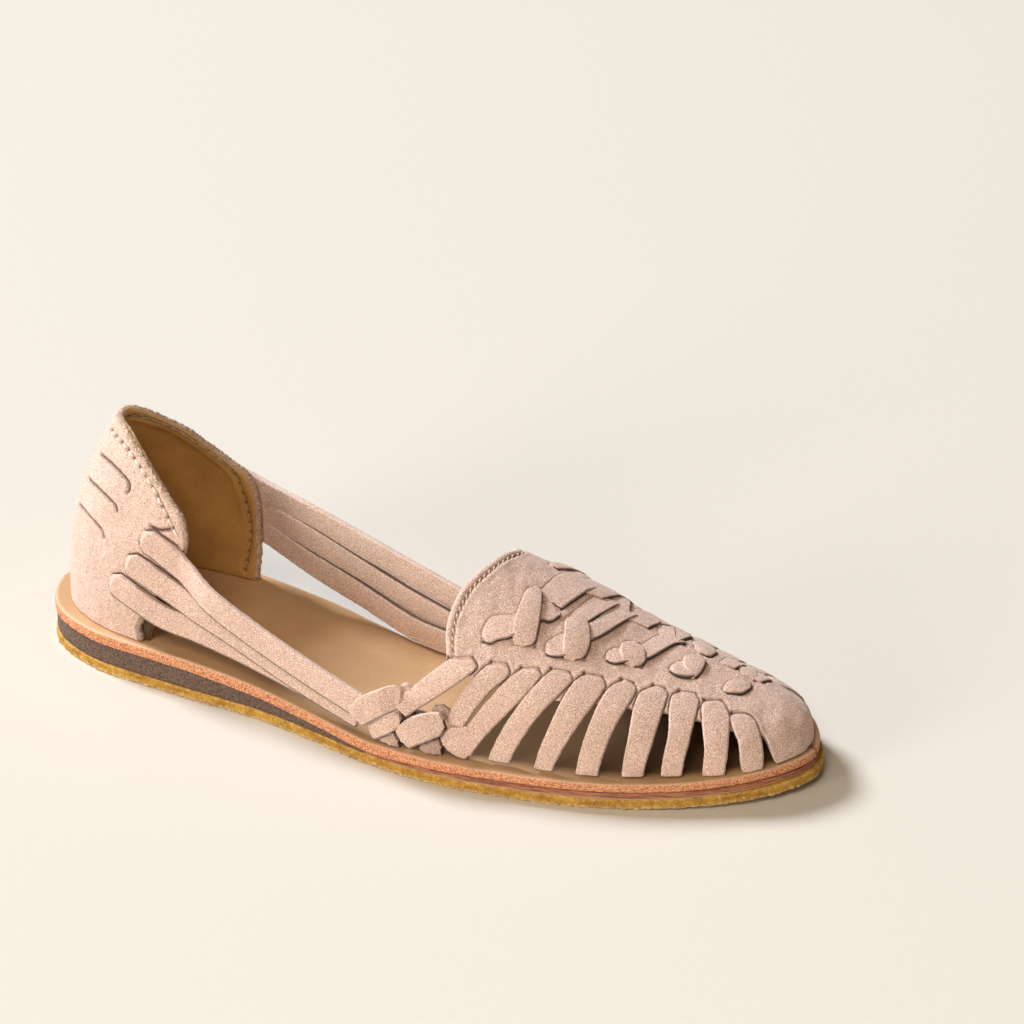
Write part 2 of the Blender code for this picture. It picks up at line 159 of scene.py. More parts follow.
# The inner side has no twisted corner: there the first two ribs run on to the insole.
INNER_RIBS = (
    (((152, 0.622), (149.5, 0.668), (145.5, 0.82), (141.5, 0.985)),
     ((158.9, 0.577), (161, 0.618), (155.5, 0.8), (148.5, 0.985))),
    (((165.1, 0.567), (162.9, 0.606), (157.3, 0.755), (149.5, 0.985)),
     ((169.6, 0.545), (171, 0.588), (166, 0.71), (156, 0.985))),
)
RIB_THICK = 1.8
# How far a rib's top lies out at its top, middle and foot; the first ones stand out more.
RIB_LEVELS = (0.15, 0.5, 0.3)
FIRST_RIB_LEVELS = {-1: (0.15, 1.4, 3.3), 1: (0.15, 1.2, 1.0)}

# Heel counter: height above the insole, back edge's station, half width, roundness length.
COUNTER = (
    (0, 5.6, 26.6, 42), (15, 5.9, 26.6, 42), (26, 7.2, 25.6, 41), (36, 9.4, 24, 40),
    (46, 12.9, 21.4, 39), (57, 18, 17, 37), (66, 23, 13, 34),
)
COUNTER_ROUND = 2.1
# The wall's points, and how much closer together they lie at the back.
COUNTER_COLUMNS = 273
COUNTER_ROWS = 139
COUNTER_DENSER = 1.8
SUEDE_THICK = 1.8
LINING_THICK = 1.2
HEEL_AXIS = (2.3, -0.052)
# Rims: distance from the back edge along the shoe, height above the insole.
OUTER_RIM = (
    (0, 64.9), (6.7, 63.7), (15.4, 59.9), (24.4, 55.3), (30.9, 51.7), (37.5, 47.9), (42, 45),
    (45.4, 41.2),
)
INNER_RIM = ((0, 64.9), (3.6, 63.2), (12, 58.8), (20.8, 54.4), (29.7, 48.9), (38.5, 43.8), (47, 39.6))
# Front edges of the wings: height above the insole, distance from the back edge.
INNER_FRONT = ((0, 53.2), (3, 53.4), (11, 54.1), (22.7, 53.6), (30.3, 52.2), (36, 49.6), (39.6, 47))
OUTER_FRONT = ((0, 35.4), (4.5, 34.4), (10, 37), (20, 43), (30, 47.6), (36.6, 47.5), (41.2, 45.4))
# The lining's own front edge on the outer wing, seen through the notch below the straps; there it is
# painted with shade to stand in for the shadowed inside.
LINING_FRONT = ((0, 38.4), (4.5, 39.4), (10, 43.5), (20, 45.5), (30, 47.6), (36.6, 47.5), (41.2, 45.4))
# How far the border's middle lies inside the wall's edge.
RIM_INSET = 0.7

# Side straps: where each leaves its slit and its wing (station, height above the insole on the
# counter), then the centre line's free points (station, y, z), and how far out it lies.
STRAP_WIDTH = {-1: 8.3, 1: 9.1}
STRAP_THICK = 2.0
OUTER_STRAPS = (
    (((42.6, 36.6), (51, 33.2), (57.5, 29.6)),
     ((70.6, -32.2, 38.2), (87, -35.9, 31.9), (110, -41, 25), (126, -44.2, 20.6)), 0.7),
    (((37.4, 27.3), (46.5, 24.4), (55.5, 20.6)),
     ((62.9, -29.4, 32.4), (75, -31.9, 29), (98, -37.2, 22.2), (124, -42.6, 15.6)), 0),
    (((31.6, 18.9), (42, 15.4), (51, 11.9)),
     ((62.7, -29.2, 24.6), (80, -32.6, 22.8), (98, -36.4, 20), (122, -41, 15.2)), -0.6),
)
INNER_STRAPS = (
    (((46, 36.6), (53, 34.8), (59, 33)),
     ((78, 21, 43.7), (97, 19.8, 37.8), (121, 18, 30.2), (152, 17.6, 19.6), (165, 23.4, 15.6)), 0),
    (((46, 28.4), (53, 26.8), (59, 25.2)),
     ((78, 21, 36), (97, 19.6, 28.7), (121, 16.4, 21.3), (148, 15.4, 13.8), (158, 20.2, 13.2)), 0),
    (((46, 20.2), (53, 18.8), (59, 17.6)),
     ((78, 21, 27.1), (97, 19, 20.5), (121, 14.2, 14), (140, 13, 12.9), (149, 16, 12.9)), 0),
)

# Weave on the vamp, one row a band: name, one edge and the other as places (station, share) from
# start to end, and the top's level over the panel at the start, the middle and the end.
WEAVE = (
    ("leaf_1",
     ((159.3, 0.447), (160.4, 0.37), (162.8, 0.335), (166.3, 0.303), (172, 0.175), (174.4, 0.151),
      (177.1, 0.167)),
     ((160.8, 0.492), (163.4, 0.484), (164.7, 0.46), (168.2, 0.418), (173.8, 0.276), (176.8, 0.252),
      (178.4, 0.196)),
     (0.2, 0.5, 0.35)),
    ("loop_1", ((166.2, 0.125), (166.7, 0.236), (167.6, 0.348), (169.2, 0.448)),
     ((170, 0.1), (172, 0.185), (174.1, 0.289), (175.6, 0.41)), (0.5, 1.4, 0.6)),
    ("cross_1", ((169.7, 0.125), (170.6, 0.02), (172.2, -0.15), (173, -0.22)),
     ((177.7, 0.161), (179.3, 0.076), (180.5, 0.006), (182.6, -0.11)), (0.2, 0.6, 0.2)),
    ("over_1", ((177.6, 0.215), (179.8, 0.18), (181.4, 0.092), (182.5, 0.004), (183.8, -0.076)),
     ((184.6, 0.2), (186.4, 0.12), (188.6, 0.014), (190, -0.08)), (-0.4, 0.3, 0.1)),
    ("leaf_2",
     ((178.4, 0.404), (178.3, 0.356), (179.6, 0.314), (181.6, 0.268), (186.2, 0.148), (188.5, 0.014),
      (190.4, -0.07)),
     ((179.8, 0.423), (182, 0.412), (184.7, 0.38), (188.9, 0.247), (191.5, 0.161), (193.4, 0.062),
      (196.2, -0.08)),
     (0.2, 0.6, 0.3)),
    ("loop_2", ((179.6, 0.185), (181.1, 0.252), (182.6, 0.33), (184.2, 0.404)),
     ((184.8, 0.13), (186.9, 0.175), (189.3, 0.257), (190, 0.352)), (0.5, 1.3, 0.6)),
    ("leaf_3",
     ((194.8, 0.281), (194.6, 0.241), (195.7, 0.201), (197.6, 0.177), (201.7, 0.105), (203.5, 0.004),
      (207, -0.08)),
     ((196, 0.295), (197.9, 0.292), (199.9, 0.265), (205.4, 0.183), (207.5, 0.108), (209.6, 0.009),
      (212.4, -0.06)),
     (0.2, 0.6, 0.2)),
    ("loop_3", ((197.6, 0.118), (196.9, 0.172), (198.2, 0.223), (200.3, 0.268)),
     ((201.1, 0.102), (203.9, 0.148), (205.3, 0.195), (205.4, 0.244)), (0.5, 1.2, 0.5)),
    ("leaf_4", ((212.2, 0.177), (212.5, 0.135), (214.5, 0.084), (218, 0.05)),
     ((213.4, 0.201), (215.8, 0.212), (219.3, 0.185), (220.5, 0.15)), (0.2, 0.5, 0.2)),
    ("loop_4", ((216.2, -0.005), (214.3, 0.07), (216.3, 0.143), (219, 0.188)),
     ((218.1, -0.006), (220.3, 0.028), (221, 0.1), (220.8, 0.168)), (0.4, 1, 0.4)),
    ("loop_5", ((228.7, 0.175), (229, 0.097), (231.1, 0.022), (233.4, 0.006)),
     ((230.8, 0.193), (234.6, 0.14), (235.8, 0.046), (235.4, 0.018)), (0.2, 0.6, 0.2)),
)

# Band ends that come over the ridge from the inner side, laid out like the weave.
RIDGE_ENDS = (
    ("curl_1", ((177.6, -0.33), (177.8, -0.15), (177.4, 0.01)),
     ((187.2, -0.32), (187.4, -0.14), (185.6, -0.03)), (0.1, 0.9, 0.9)),
    ("curl_2", ((193.6, -0.3), (193.9, -0.15), (193.6, 0)),
     ((201.6, -0.28), (202, -0.13), (200.6, -0.02)), (0.1, 0.8, 0.7)),
    ("curl_3", ((204.6, -0.28), (204.9, -0.15), (204.6, -0.01)),
     ((211, -0.26), (211.4, -0.13), (210.2, -0.03)), (0.1, 0.7, 0.6)),
    ("curl_4", ((223.6, -0.28), (223.8, -0.16), (223.6, -0.03)),
     ((229.4, -0.26), (229.6, -0.15), (228.6, -0.05)), (0.1, 0.6, 0.6)),
    ("curl_5", ((233, -0.28), (233.2, -0.17), (233, -0.04)),
     ((238.2, -0.26), (238.4, -0.16), (237.4, -0.06)), (0.1, 0.5, 0.5)),
)

# Slits near the back of the counter: station and height above the insole along each.
COUNTER_SLITS = (
    ((21, 53.4), (24.6, 53.4), (28.2, 53), (31.6, 52.2), (34.6, 50.8), (35.4, 49), (34.8, 47.8)),
    ((17.1, 44.6), (20.8, 44.7), (24.7, 44.4), (28, 43.7), (31, 42.6), (31.6, 41.2)),
    ((14, 35.1), (17.6, 35.2), (20.9, 34.9), (23.8, 34), (26.4, 32.7), (27, 31.2)),
)
WING_SLIT = ((45.2, 40.3), (48.2, 40), (51.8, 41))

STITCH_PITCH = 3.7
# Stitching along the rim: station and height above the insole; outer and inner side.
OUTER_STITCHES = (
    (23.6, 61.2), (29.6, 60.3), (34.4, 58.4), (38, 56.3), (42, 53.6), (45.5, 50.6), (48.4, 47.3),
    (51.5, 43.4), (54.2, 40),
)
INNER_STITCHES = ((23.6, 57.4), (30, 53.9), (38, 48.7), (46, 43.6), (52, 39.6), (54.2, 36.4))
LINING_STITCHES = (
    (25.7, 59.6), (31.7, 56.7), (38.5, 51.8), (44.8, 46.8), (51.7, 41.5), (54.6, 37.8), (56, 32.6),
    (57.7, 24.4), (58, 17.1), (56.4, 7.4), (55.3, 3.1),
)

# Twisted corner by the outer sole edge, one row a band: name, upper and lower edge (station, z)
# on the shoe's side wall, how far out its top lies at the start, the middle and the end.
CORNER_WALL = ((98, -38), (110, -41), (125, -43.6), (137, -44.6), (150, -44.4), (165, -43.4))
CORNER = (
    ("corner_behind", ((128.6, 12.6), (134, 18), (140, 21.4), (147, 21.4), (153, 18.6)),
     ((131, 9.4), (137, 9), (143, 9), (149, 9), (155, 9.2)), (-2.4, -2.4, -2.4)),
    ("corner_back", ((138.2, 29.8), (139.9, 30.6), (141.6, 30)),
     ((138.6, 26.6), (140.2, 27), (141.9, 27.4)), (-2.9, -2.7, -3)),
    ("corner_inside", ((148.4, 23.2), (151.3, 26), (154.8, 25)),
     ((150.3, 21.9), (152.2, 22.4), (154.5, 20.6)), (-1.8, -1.4, -1.8)),
    ("corner_end_1", ((131.7, 9.7), (134.2, 11.7), (136.6, 12.7)),
     ((133.5, 9), (136.2, 8.6), (138.9, 8.6)), (-0.4, 0, -0.4)),
    ("corner_end_2", ((145.5, 10.8), (148.5, 12.9), (151.5, 14.6)),
     ((145.5, 8.7), (148.8, 8.6), (152.7, 8.6)), (-0.5, 0, -0.4)),
    ("corner_foot", ((151.8, 15.1), (155, 19), (159, 20.1), (163, 21.5)),
     ((154.7, 10.6), (157.4, 9.4), (160.2, 8.9), (163.6, 13.5)), (-0.5, -0.2, -0.6)),
    ("corner_2", ((127.6, 13.6), (131.9, 17.5), (135.4, 19.7), (138.8, 20.8)),
     ((130.4, 9.2), (133.2, 11.4), (135.6, 13), (139.3, 16.2)), (0.2, 1.1, 0.1)),
    ("corner_1", ((121.9, 18.9), (126.6, 24.3), (132, 28.2), (136.4, 30.2), (139.4, 29.4)),
     ((127.6, 14.3), (130.3, 16.5), (133.5, 19.1), (136.2, 20.8), (138.5, 22.1)), (2.6, 2.5, -0.4)),
    ("corner_3", ((137.5, 14.5), (140.6, 19), (144.5, 22.2), (148.4, 23.7), (152.4, 24.5)),
     ((142.3, 9.4), (146.2, 12.3), (150.2, 14.9), (153.1, 16.9), (154.3, 19.9)), (0.8, 2.4, 1)),
)
CORNER_LEAN = 0.12
# Bands of the corner painted with shade all over, and how strong it is; corner_behind is a dark band set
# behind the others so the gaps between them read as shadow.
CORNER_PAINTED_SHADE = {"corner_behind": 0.85, "corner_end_1": 0.3, "corner_end_2": 0.4, "corner_inside": 0.4}

# Meshes: waves in a ripple and their usual peak, distance in metres at which points merge, how
# far in from an edge the relief fades and the raw edge shows, steps of a rounded corner, how
# round a narrowed end is, and the distance in millimetres that counts as nought.
RIPPLE_WAVES = 7
RIPPLE_PEAK = 3.2
SAME_PLACE = 1e-6
RELIEF_FADE = 0.8
EDGE_REACH = 0.9
ARC = 4
END_ROUND = 2.2
TOUCHING = 1e-6
# Bands: least half width, share of the length where the level changes, length of a dive, and on
# the inner side how far the weave keeps off the ridge and how flat it lies.
LEAST_HALF_WIDTH = 0.3
LEVEL_SHARE = 0.4
DIVE_LENGTH = 1.6
RIDGE_CLEAR = 0.03
INNER_WEAVE_FLATTER = 0.45
# An outline presses on points within this reach beyond it and this depth off its plane.
OUTLINE_REACH = 6.0
OUTLINE_DEPTH = 16.0
FAR = 1e3

EDGE_ON_BANDS = 0.3
SUEDE = (0.725, 0.505, 0.42)
SUEDE_RAW = (0.60, 0.43, 0.32)
SUEDE_EDGE = (0.82, 0.64, 0.55)
# Paler suede for the inner straps' back face, made paler still as painted light where little lamp light
# reaches.
SUEDE_FLESH_LIT = (0.88, 0.63, 0.55)
FLOOR_COLOUR = (0.72, 0.685, 0.615)
FLOOR_HALF = 6.0
WORLD_COLOUR = (1.0, 0.95, 0.72, 1.0)
WORLD_STRENGTH = 0.12
THREADS = (
    ("thread_pale", (0.92, 0.82, 0.70)),
    ("thread_dull", (0.74, 0.58, 0.47)),
    ("thread_tan", (0.52, 0.36, 0.18)),
)

# Lamps: name, place, width, power and colour; all aim at one point.
LAMPS = (
    ("key", (-5.85, 1.235, 5.59), 2.4, 862.0, (0.88, 0.92, 1.0)),
    ("fill", (0.3, -2.35, 2.8), 1.6, 53.0, (1.0, 0.80, 0.64)),
    ("low_fill", (-1.7, -3.4, 0.9), 1.6, 73.0, (1.0, 0.94, 0.85)),
)
LAMP_AIM = (0.0, 0.0, 0.03)

# Camera: angle to the shoe in degrees, distance, lens, and how far the aim lies off the shoe.
CAMERA_AZIMUTH = 23.14
CAMERA_ELEVATION = 28.99
CAMERA_DISTANCE = 1.874
CAMERA_LENS = 212.0
CAMERA_SENSOR = 36.0
CAMERA_TARGET = (129, 0, 30)
CAMERA_AIM_RIGHT = 25.9
CAMERA_AIM_UP = 31.8


# ---------------------------------------------------------------- curves and the shoe's surfaces


def curve(table, x, column=1):
    """Values of a table's column at x, on a smooth curve through its rows."""
    rows = np.array(table, float)
    keys = rows[:, 0]
    values = rows[:, column]
    order = np.arange(len(keys))
    low = np.maximum(order - 1, 0)
    high = np.minimum(order + 1, len(keys) - 1)
    slopes = (values[high] - values[low]) / (keys[high] - keys[low])
    x = np.clip(x, keys[0], keys[-1])
    i = np.clip(np.searchsorted(keys, x, side="right") - 1, 0, len(keys) - 2)
    span = keys[i + 1] - keys[i]
    t = (x - keys[i]) / span
    ends = values[i] * (1 + 2 * t) * (1 - t) ** 2 + values[i + 1] * t * t * (3 - 2 * t)
    bend = slopes[i] * t * (1 - t) ** 2 - slopes[i + 1] * t * t * (1 - t)
    return ends + bend * span


def unit(v):
    return v / np.maximum(np.linalg.norm(v, axis=-1, keepdims=True), 1e-9)


def smooth_step(t):
    t = np.clip(t, 0.0, 1.0)
    return t * t * (3 - 2 * t)


def rise(x, start, length):
    """Nought up to the start, smoothly up to one over the length."""
    return smooth_step((x - start) / length)


def hump(distance, width, power=2):
    """One at no distance, gone beyond about twice the width."""
    return np.exp(-((distance / width) ** power))


def run_along(line):
    """How far along a line each of its points lies."""
    return np.concatenate(([0.0], np.cumsum(np.linalg.norm(np.diff(line, axis=0), axis=1))))


def through(rows, t, spots=None):
    """A smooth curve through the rows at shares t of its length, measured along spots if given."""
    rows = np.array(rows, float)
    run = run_along(rows if spots is None else spots)
    table = np.column_stack((run / run[-1], rows))
    return np.stack([curve(table, t, column) for column in range(1, table.shape[1])], -1)


def catmull_ring(points, steps):
    """Closed centripetal Catmull-Rom curve through a ring of points."""
    ring = np.array(points, float)
    out = []
    for i in range(len(ring)):
        p = [ring[(i + k) % len(ring)] for k in (-1, 0, 1, 2)]
        t = np.cumsum([0.0] + [math.sqrt(np.linalg.norm(b - a)) for a, b in zip(p, p[1:])])
        u = t[1] + (t[2] - t[1]) * np.arange(steps)[:, None] / steps
        first = [p[j] + (p[j + 1] - p[j]) * (u - t[j]) / (t[j + 1] - t[j]) for j in range(3)]
        second = [first[j] + (first[j + 1] - first[j]) * (u - t[j]) / (t[j + 2] - t[j]) for j in range(2)]
        out.append(second[0] + (second[1] - second[0]) * (u - t[1]) / (t[2] - t[1]))
    return np.vstack(out)


@functools.lru_cache(maxsize=None)
def outline_sides(inset):
    """The sole's outline moved inwards, as (stations, y) of the inner and of the outer edge."""
    inner = [(x, y) for x, y, _ in OUTLINE]
    outer = [(x, y) for x, _, y in OUTLINE][-2:0:-1]
    ring = catmull_ring(inner + outer, OUTLINE_STEPS)
    run = unit(np.roll(ring, -1, 0) - np.roll(ring, 1, 0))
    if inset == "feather":
        inset = curve(FEATHER, ring[:, :1])
    ring = ring + inset * np.column_stack((run[:, 1], -run[:, 0]))
    half = len(ring) // 2
    sides = []
    for part in (ring[: half + 1], np.vstack((ring[half:], ring[:1]))):
        order = np.argsort(part[:, 0])
        sides.append((part[order, 0], part[order, 1]))
    return sides


def edge_y(x, side, inset):
    """Y of the sole's outline, moved inwards by inset: side 1 is the inner edge, -1 the outer."""
    return np.interp(x, *outline_sides(inset)[0 if side > 0 else 1])


def floor_z(x):
    return TOE_SPRING * np.maximum(0.0, (x - SPRING_FROM) / (LENGTH - SPRING_FROM)) ** 2


def crepe_top(x):
    return floor_z(x) + CREPE_THICK


def insole_bottom(x):
    drop = np.clip((x - WEDGE_FULL_TO) / (WEDGE_END - WEDGE_FULL_TO), 0.0, 1.0)
    grown = rise(x, WEDGE_END, MIDSOLE_FULL_FROM - WEDGE_END)
    filler = WEDGE_THICK + (THIN_EDGE - WEDGE_THICK) * drop + (MIDSOLE_THICK - THIN_EDGE) * grown
    return crepe_top(x) + filler


def insole_top(x):
    thin = rise(x, INSOLE_THINS[0], INSOLE_THINS[1] - INSOLE_THINS[0])
    return insole_bottom(x) + INSOLE_HEEL_THICK + (INSOLE_TOE_THICK - INSOLE_HEEL_THICK) * thin


def last_base(x, share):
    """Points of the forefoot's outer surface."""
    x, share = np.broadcast_arrays(np.asarray(x, float), np.asarray(share, float))
    edge = np.where(share > 0, edge_y(x, 1, "feather"), edge_y(x, -1, "feather"))
    ridge_y = curve(RIDGE, x, 2)
    angle = np.abs(share) * math.pi / 2
    y = ridge_y + (edge - ridge_y) * np.maximum(np.sin(angle), 0.0) ** SECTION_SIDE_POWER
    crown = np.maximum(np.cos(angle), 0.0) ** SECTION_CROWN_POWER
    height = np.maximum(curve(RIDGE, x, 1), LEAST_RIDGE)
    drop = curve(INNER_DROP, x) * rise(share, *DROP_BEGINS) * (1 - rise(share, *DROP_ENDS))
    return np.stack((x, y, insole_top(x) + GAP + height * crown - drop), -1)


def on_last(x, share, lift=0.0):
    """Points that stand lift millimetres off the forefoot's surface."""
    at = np.clip(x, *SLOPE_STATIONS)
    beside = np.clip(share, -SLOPE_SHARE, SLOPE_SHARE)
    by_x = (last_base(at + 0.3, beside) - last_base(at - 0.3, beside)) / 0.6
    by_share = (last_base(at, beside + 0.01) - last_base(at, beside - 0.01)) / 0.02
    normal = unit(np.cross(by_x, by_share))
    return last_base(x, np.clip(share, -1.0, 1.0)) + normal * np.asarray(lift)[..., None]


def on_counter(height, behind, side, depth=0.0):
    """Points of the heel counter: behind is the distance from its back edge along the shoe."""
    back, half, length = (curve(COUNTER, height, column) for column in (1, 2, 3))
    near = np.maximum(0.0, 1 - behind / length)
    y = (half - depth) * (1 - near**COUNTER_ROUND) ** (1 / COUNTER_ROUND)
    x = back + depth + behind * (length - depth) / length
    axis = HEEL_AXIS[0] + HEEL_AXIS[1] * x
    return np.stack((x, axis + side * y, insole_top(x) + GAP + height), -1)


def at_station(x, height, side, lift=0.0):
    """Point of the counter's outer face at a station and a height above the insole."""
    return on_counter(height, x - curve(COUNTER, height, 1), side, -lift)


def vamp_surface(side):
    """The forefoot read by places (station, share towards the given side)."""

    def surface(places, lift):
        return on_last(places[..., 0], side * places[..., 1], lift)

    return surface


def corner_surface(places, lift):
    """The side wall by the twisted corner, read by places (station, z)."""
    x = places[..., 0]
    slope = curve(CORNER_WALL, x + 0.5) - curve(CORNER_WALL, x - 0.5)
    out = unit(np.stack((slope, -np.ones(x.shape), np.full(x.shape, CORNER_LEAN)), -1))
    return np.stack((x, curve(CORNER_WALL, x), places[..., 1]), -1) + out * np.asarray(lift)[..., None]


INSOLE_LOW, INSOLE_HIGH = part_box("insole")
STATION_ZERO = (INSOLE_LOW.x + INSOLE_HIGH.x) / 2 - LENGTH / 2 * MM
OUTER_EXTREME = float(edge_y(np.linspace(100.0, 200.0, 401), -1, 0.0).min())
Y_ZERO = INSOLE_LOW.y - OUTER_EXTREME * MM


def to_frame(points):
    """Station millimetres to the frame's metres."""
    return np.asarray(points, float) * MM + np.array((STATION_ZERO, Y_ZERO, 0.0))


def ripple(points, wavelength, seed):
    """Smooth, repeatable unevenness between about -1 and 1 at each point."""
    generator = np.random.default_rng(seed)
    total = np.zeros(points.shape[:-1])
    for _ in range(RIPPLE_WAVES):
        direction = unit(generator.normal(size=3)) * (2 * math.pi / wavelength)
        direction = direction * generator.uniform(0.6, 1.5)
        total += np.sin(points @ direction + generator.uniform(0, 2 * math.pi))
    return total / RIPPLE_PEAK


def ripples(points, waves):
    """Sum of ripples, each given as its height, wavelength and seed."""
    return sum(height * ripple(points, wavelength, seed) for height, wavelength, seed in waves)


def jitter(points, wavelength, seed):
    """A ripple in each of the three directions."""
    return np.stack([ripple(points, wavelength, seed + k) for k in range(3)], -1)


# ---------------------------------------------------------------- mesh makers


def make_piece(name, points, faces, made, slot, replaces=(), **attributes):
    """A smooth mesh object from station points, riding on the shoe."""
    mesh = bpy.data.meshes.new(name)
    mesh.from_pydata([tuple(p) for p in to_frame(points)], [], faces)
    for key, values in attributes.items():
        layer = mesh.attributes.new(key, "FLOAT", "POINT")
        layer.data.foreach_set("value", np.asarray(values, np.float32).ravel())
    cleaner = bmesh.new()
    cleaner.from_mesh(mesh)
    loose = [v for v in cleaner.verts if not v.link_faces]
    bmesh.ops.delete(cleaner, geom=loose, context="VERTS")
    bmesh.ops.remove_doubles(cleaner, verts=cleaner.verts, dist=SAME_PLACE)
    bmesh.ops.recalc_face_normals(cleaner, faces=cleaner.faces)
    cleaner.to_mesh(mesh)
    cleaner.free()
    mesh.shade_smooth()
    mesh.materials.append(made)
    piece = bpy.data.objects.new(name, mesh)
    bpy.context.scene.collection.objects.link(piece)
    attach(piece, "root")
    if replaces:
        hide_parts(*replaces)


def tube_faces(rings, around, base=0):
    """Faces of a closed tube: quads between the rings and a cap at either end."""
    index = base + np.arange(rings * around).reshape(rings, around)
    beside = np.roll(index, -1, axis=1)
    quads = np.stack((index[:-1], index[1:], beside[1:], beside[:-1]), -1).reshape(-1, 4)
    return quads.tolist() + [index[0].tolist(), index[-1, ::-1].tolist()]


def border_distance(grid, rounded):
    """Distance of each grid point to the nearest rounded border; rounded names the borders."""
    down = np.cumsum(np.linalg.norm(np.diff(grid, axis=0), axis=2), axis=0)
    down = np.vstack((np.zeros(grid.shape[1]), down))
    over = np.cumsum(np.linalg.norm(np.diff(grid, axis=1), axis=2), axis=1)
    over = np.hstack((np.zeros((grid.shape[0], 1)), over))
    borders = {"first": down, "last": down[-1] - down, "left": over, "right": over[:, -1:] - over}
    return np.minimum.reduce([borders[name] for name in rounded])


def shell_mesh(grid, thick, rounded, relief, fuzz, radius):
    """Closed wall whose outer face is the grid; the named borders are cut edges.

    The grid has odd counts both ways, because the hidden face has half as many points. Returns
    points, faces and edge values, which are 1 on a cut edge.
    """
    rows, columns = grid.shape[:2]
    base = rows * columns
    normal = unit(np.cross(np.gradient(grid, axis=0), np.gradient(grid, axis=1)))
    far = border_distance(grid, rounded)
    bite = radius * (1 - np.sqrt(np.maximum(0.0, 1 - (1 - np.minimum(far / radius, 1)) ** 2)))
    fade = np.clip(far / RELIEF_FADE, 0, 1)[..., None]
    outer = grid - normal * bite[..., None] + normal * fade * relief.reshape(rows, columns, 1)
    inner = grid - normal * (thick - bite)[..., None]
    index = np.arange(base).reshape(rows, columns)
    quads = np.stack((index[:-1, :-1], index[1:, :-1], index[1:, 1:], index[:-1, 1:]), -1)
    faces = quads.reshape(-1, 4).tolist()
    under = index + base
    for i in range(0, rows - 1, 2):
        for j in range(0, columns - 1, 2):
            ring = (
                (0, 0, True), (0, 1, i == 0), (0, 2, True), (1, 2, j + 2 == columns - 1),
                (2, 2, True), (2, 1, i + 2 == rows - 1), (2, 0, True), (1, 0, j == 0),
            )
            faces.append([int(under[i + down, j + over]) for down, over, kept in ring if kept])
    loop = np.concatenate((index[0, :-1], index[:-1, -1], index[-1, :0:-1], index[:0:-1, 0]))
    outer = outer.reshape(-1, 3)
    inner = inner.reshape(-1, 3)
    outward = np.zeros((len(loop), 3))
    for axis, place, last in ((0, loop // columns, rows - 1), (1, loop % columns, columns - 1)):
        step = unit(np.gradient(grid, axis=axis).reshape(-1, 3)[loop])
        outward += ((place == last) * 1.0 - (place == 0))[:, None] * step
    outward = unit(outward)
    cut_edge = (far.reshape(-1)[loop] < TOUCHING)[:, None]
    walls = []
    for w in (0.0, 0.3, 0.7, 1.0):
        ring = outer[loop] * (1 - w) + inner[loop] * w
        rough = 0.5 + ripples(ring, ((0.5, 0.9, 91), (0.5, 2.2, 92)))
        walls.append(ring + outward * rough[:, None] * fuzz * cut_edge * (0.4 if w in (0.0, 1.0) else 1.0))
    outer[loop] = walls[0]
    inner[loop] = walls[-1]
    count = len(loop)
    middle = 2 * base + np.arange(count)
    lines = (loop, middle, middle + count, loop + base)
    for a, b in zip(lines, lines[1:]):
        faces += np.stack((a, np.roll(a, -1), np.roll(b, -1), b), -1).tolist()
    near = np.clip(1 - far / EDGE_REACH, 0, 1).ravel()
    wall_edge = np.where(cut_edge[:, 0], 1.0, 0.0)
    return np.vstack((outer, inner, *walls[1:3])), faces, np.concatenate((near, near, wall_edge, wall_edge))


class Relief:
    """Height and painted shade that a wall's outer face gets, point by point, from what lies on it."""

    def __init__(self, grid, waves):
        self.points = grid.reshape(-1, 3)
        self.height = ripples(self.points, waves)
        self.crease = np.zeros(len(self.points))

    def press(self, distance, depth, soft):
        """Push in what an outline covers; the distance is negative inside it."""
        self.height -= depth * smooth_step(0.5 - distance / soft)

    def swell(self, distance, height, at, width):
        """Raise a soft ridge at a distance outside a line."""
        self.height += height * hump(distance - at, width) * (distance > 0)

    # Painted shade along a line.
    def paint_shade(self, distance, width, dark):
        self.crease = np.maximum(self.crease, dark * hump(distance, width))

    def groove(self, distance, width, depth, dark, dark_width=None):
        """Press in a furrow along a line and paint shade into it."""
        self.height -= depth * hump(distance, width)
        self.paint_shade(distance, dark_width or width, dark)


def build_wall(name, grid, thick, rounded, relief, fuzz, made, slot, replaces=(), radius=0.4, hidden=0.0):
    """A shell with its relief and painted shade as a piece; hidden is how much painted shade its far face
    gets.
    """
    points, faces, edge = shell_mesh(grid, thick, rounded, relief.height, fuzz, radius)
    count = len(relief.points)
    crease = np.zeros(len(points))
    crease[:count] = relief.crease
    crease[count : 2 * count] = hidden
    make_piece(name, points, faces, made, slot, replaces, edge=edge, crease=crease)


def band_section():
    """Cross-section of a leather band, as places on a box and on its four rounded corners.

    Columns: side -1 to 1, level -1 or 1, corner's sideways and upward unit offsets.
    """
    quarter = math.pi / 2

    def corner(side, level, quarters, steps):
        angles = [quarter * (quarters + k / ARC) for k in steps]
        return [(side, level, math.sin(angle), math.cos(angle)) for angle in angles]

    rows = [(place, 1.0, 0.0, 1.0) for place in np.sort(np.append(np.linspace(-1, 1, 9), (-0.92, 0.92)))]
    rows += corner(1.0, 1.0, 0, range(1, ARC + 1)) + corner(1.0, -1.0, 1, range(ARC))
    rows += [(place, -1.0, 0.0, -1.0) for place in np.linspace(1, -1, 4)]
    rows += corner(-1.0, -1.0, 2, range(1, ARC + 1)) + corner(-1.0, 1.0, 3, range(ARC))
    return np.array(rows)


PROFILE = band_section()


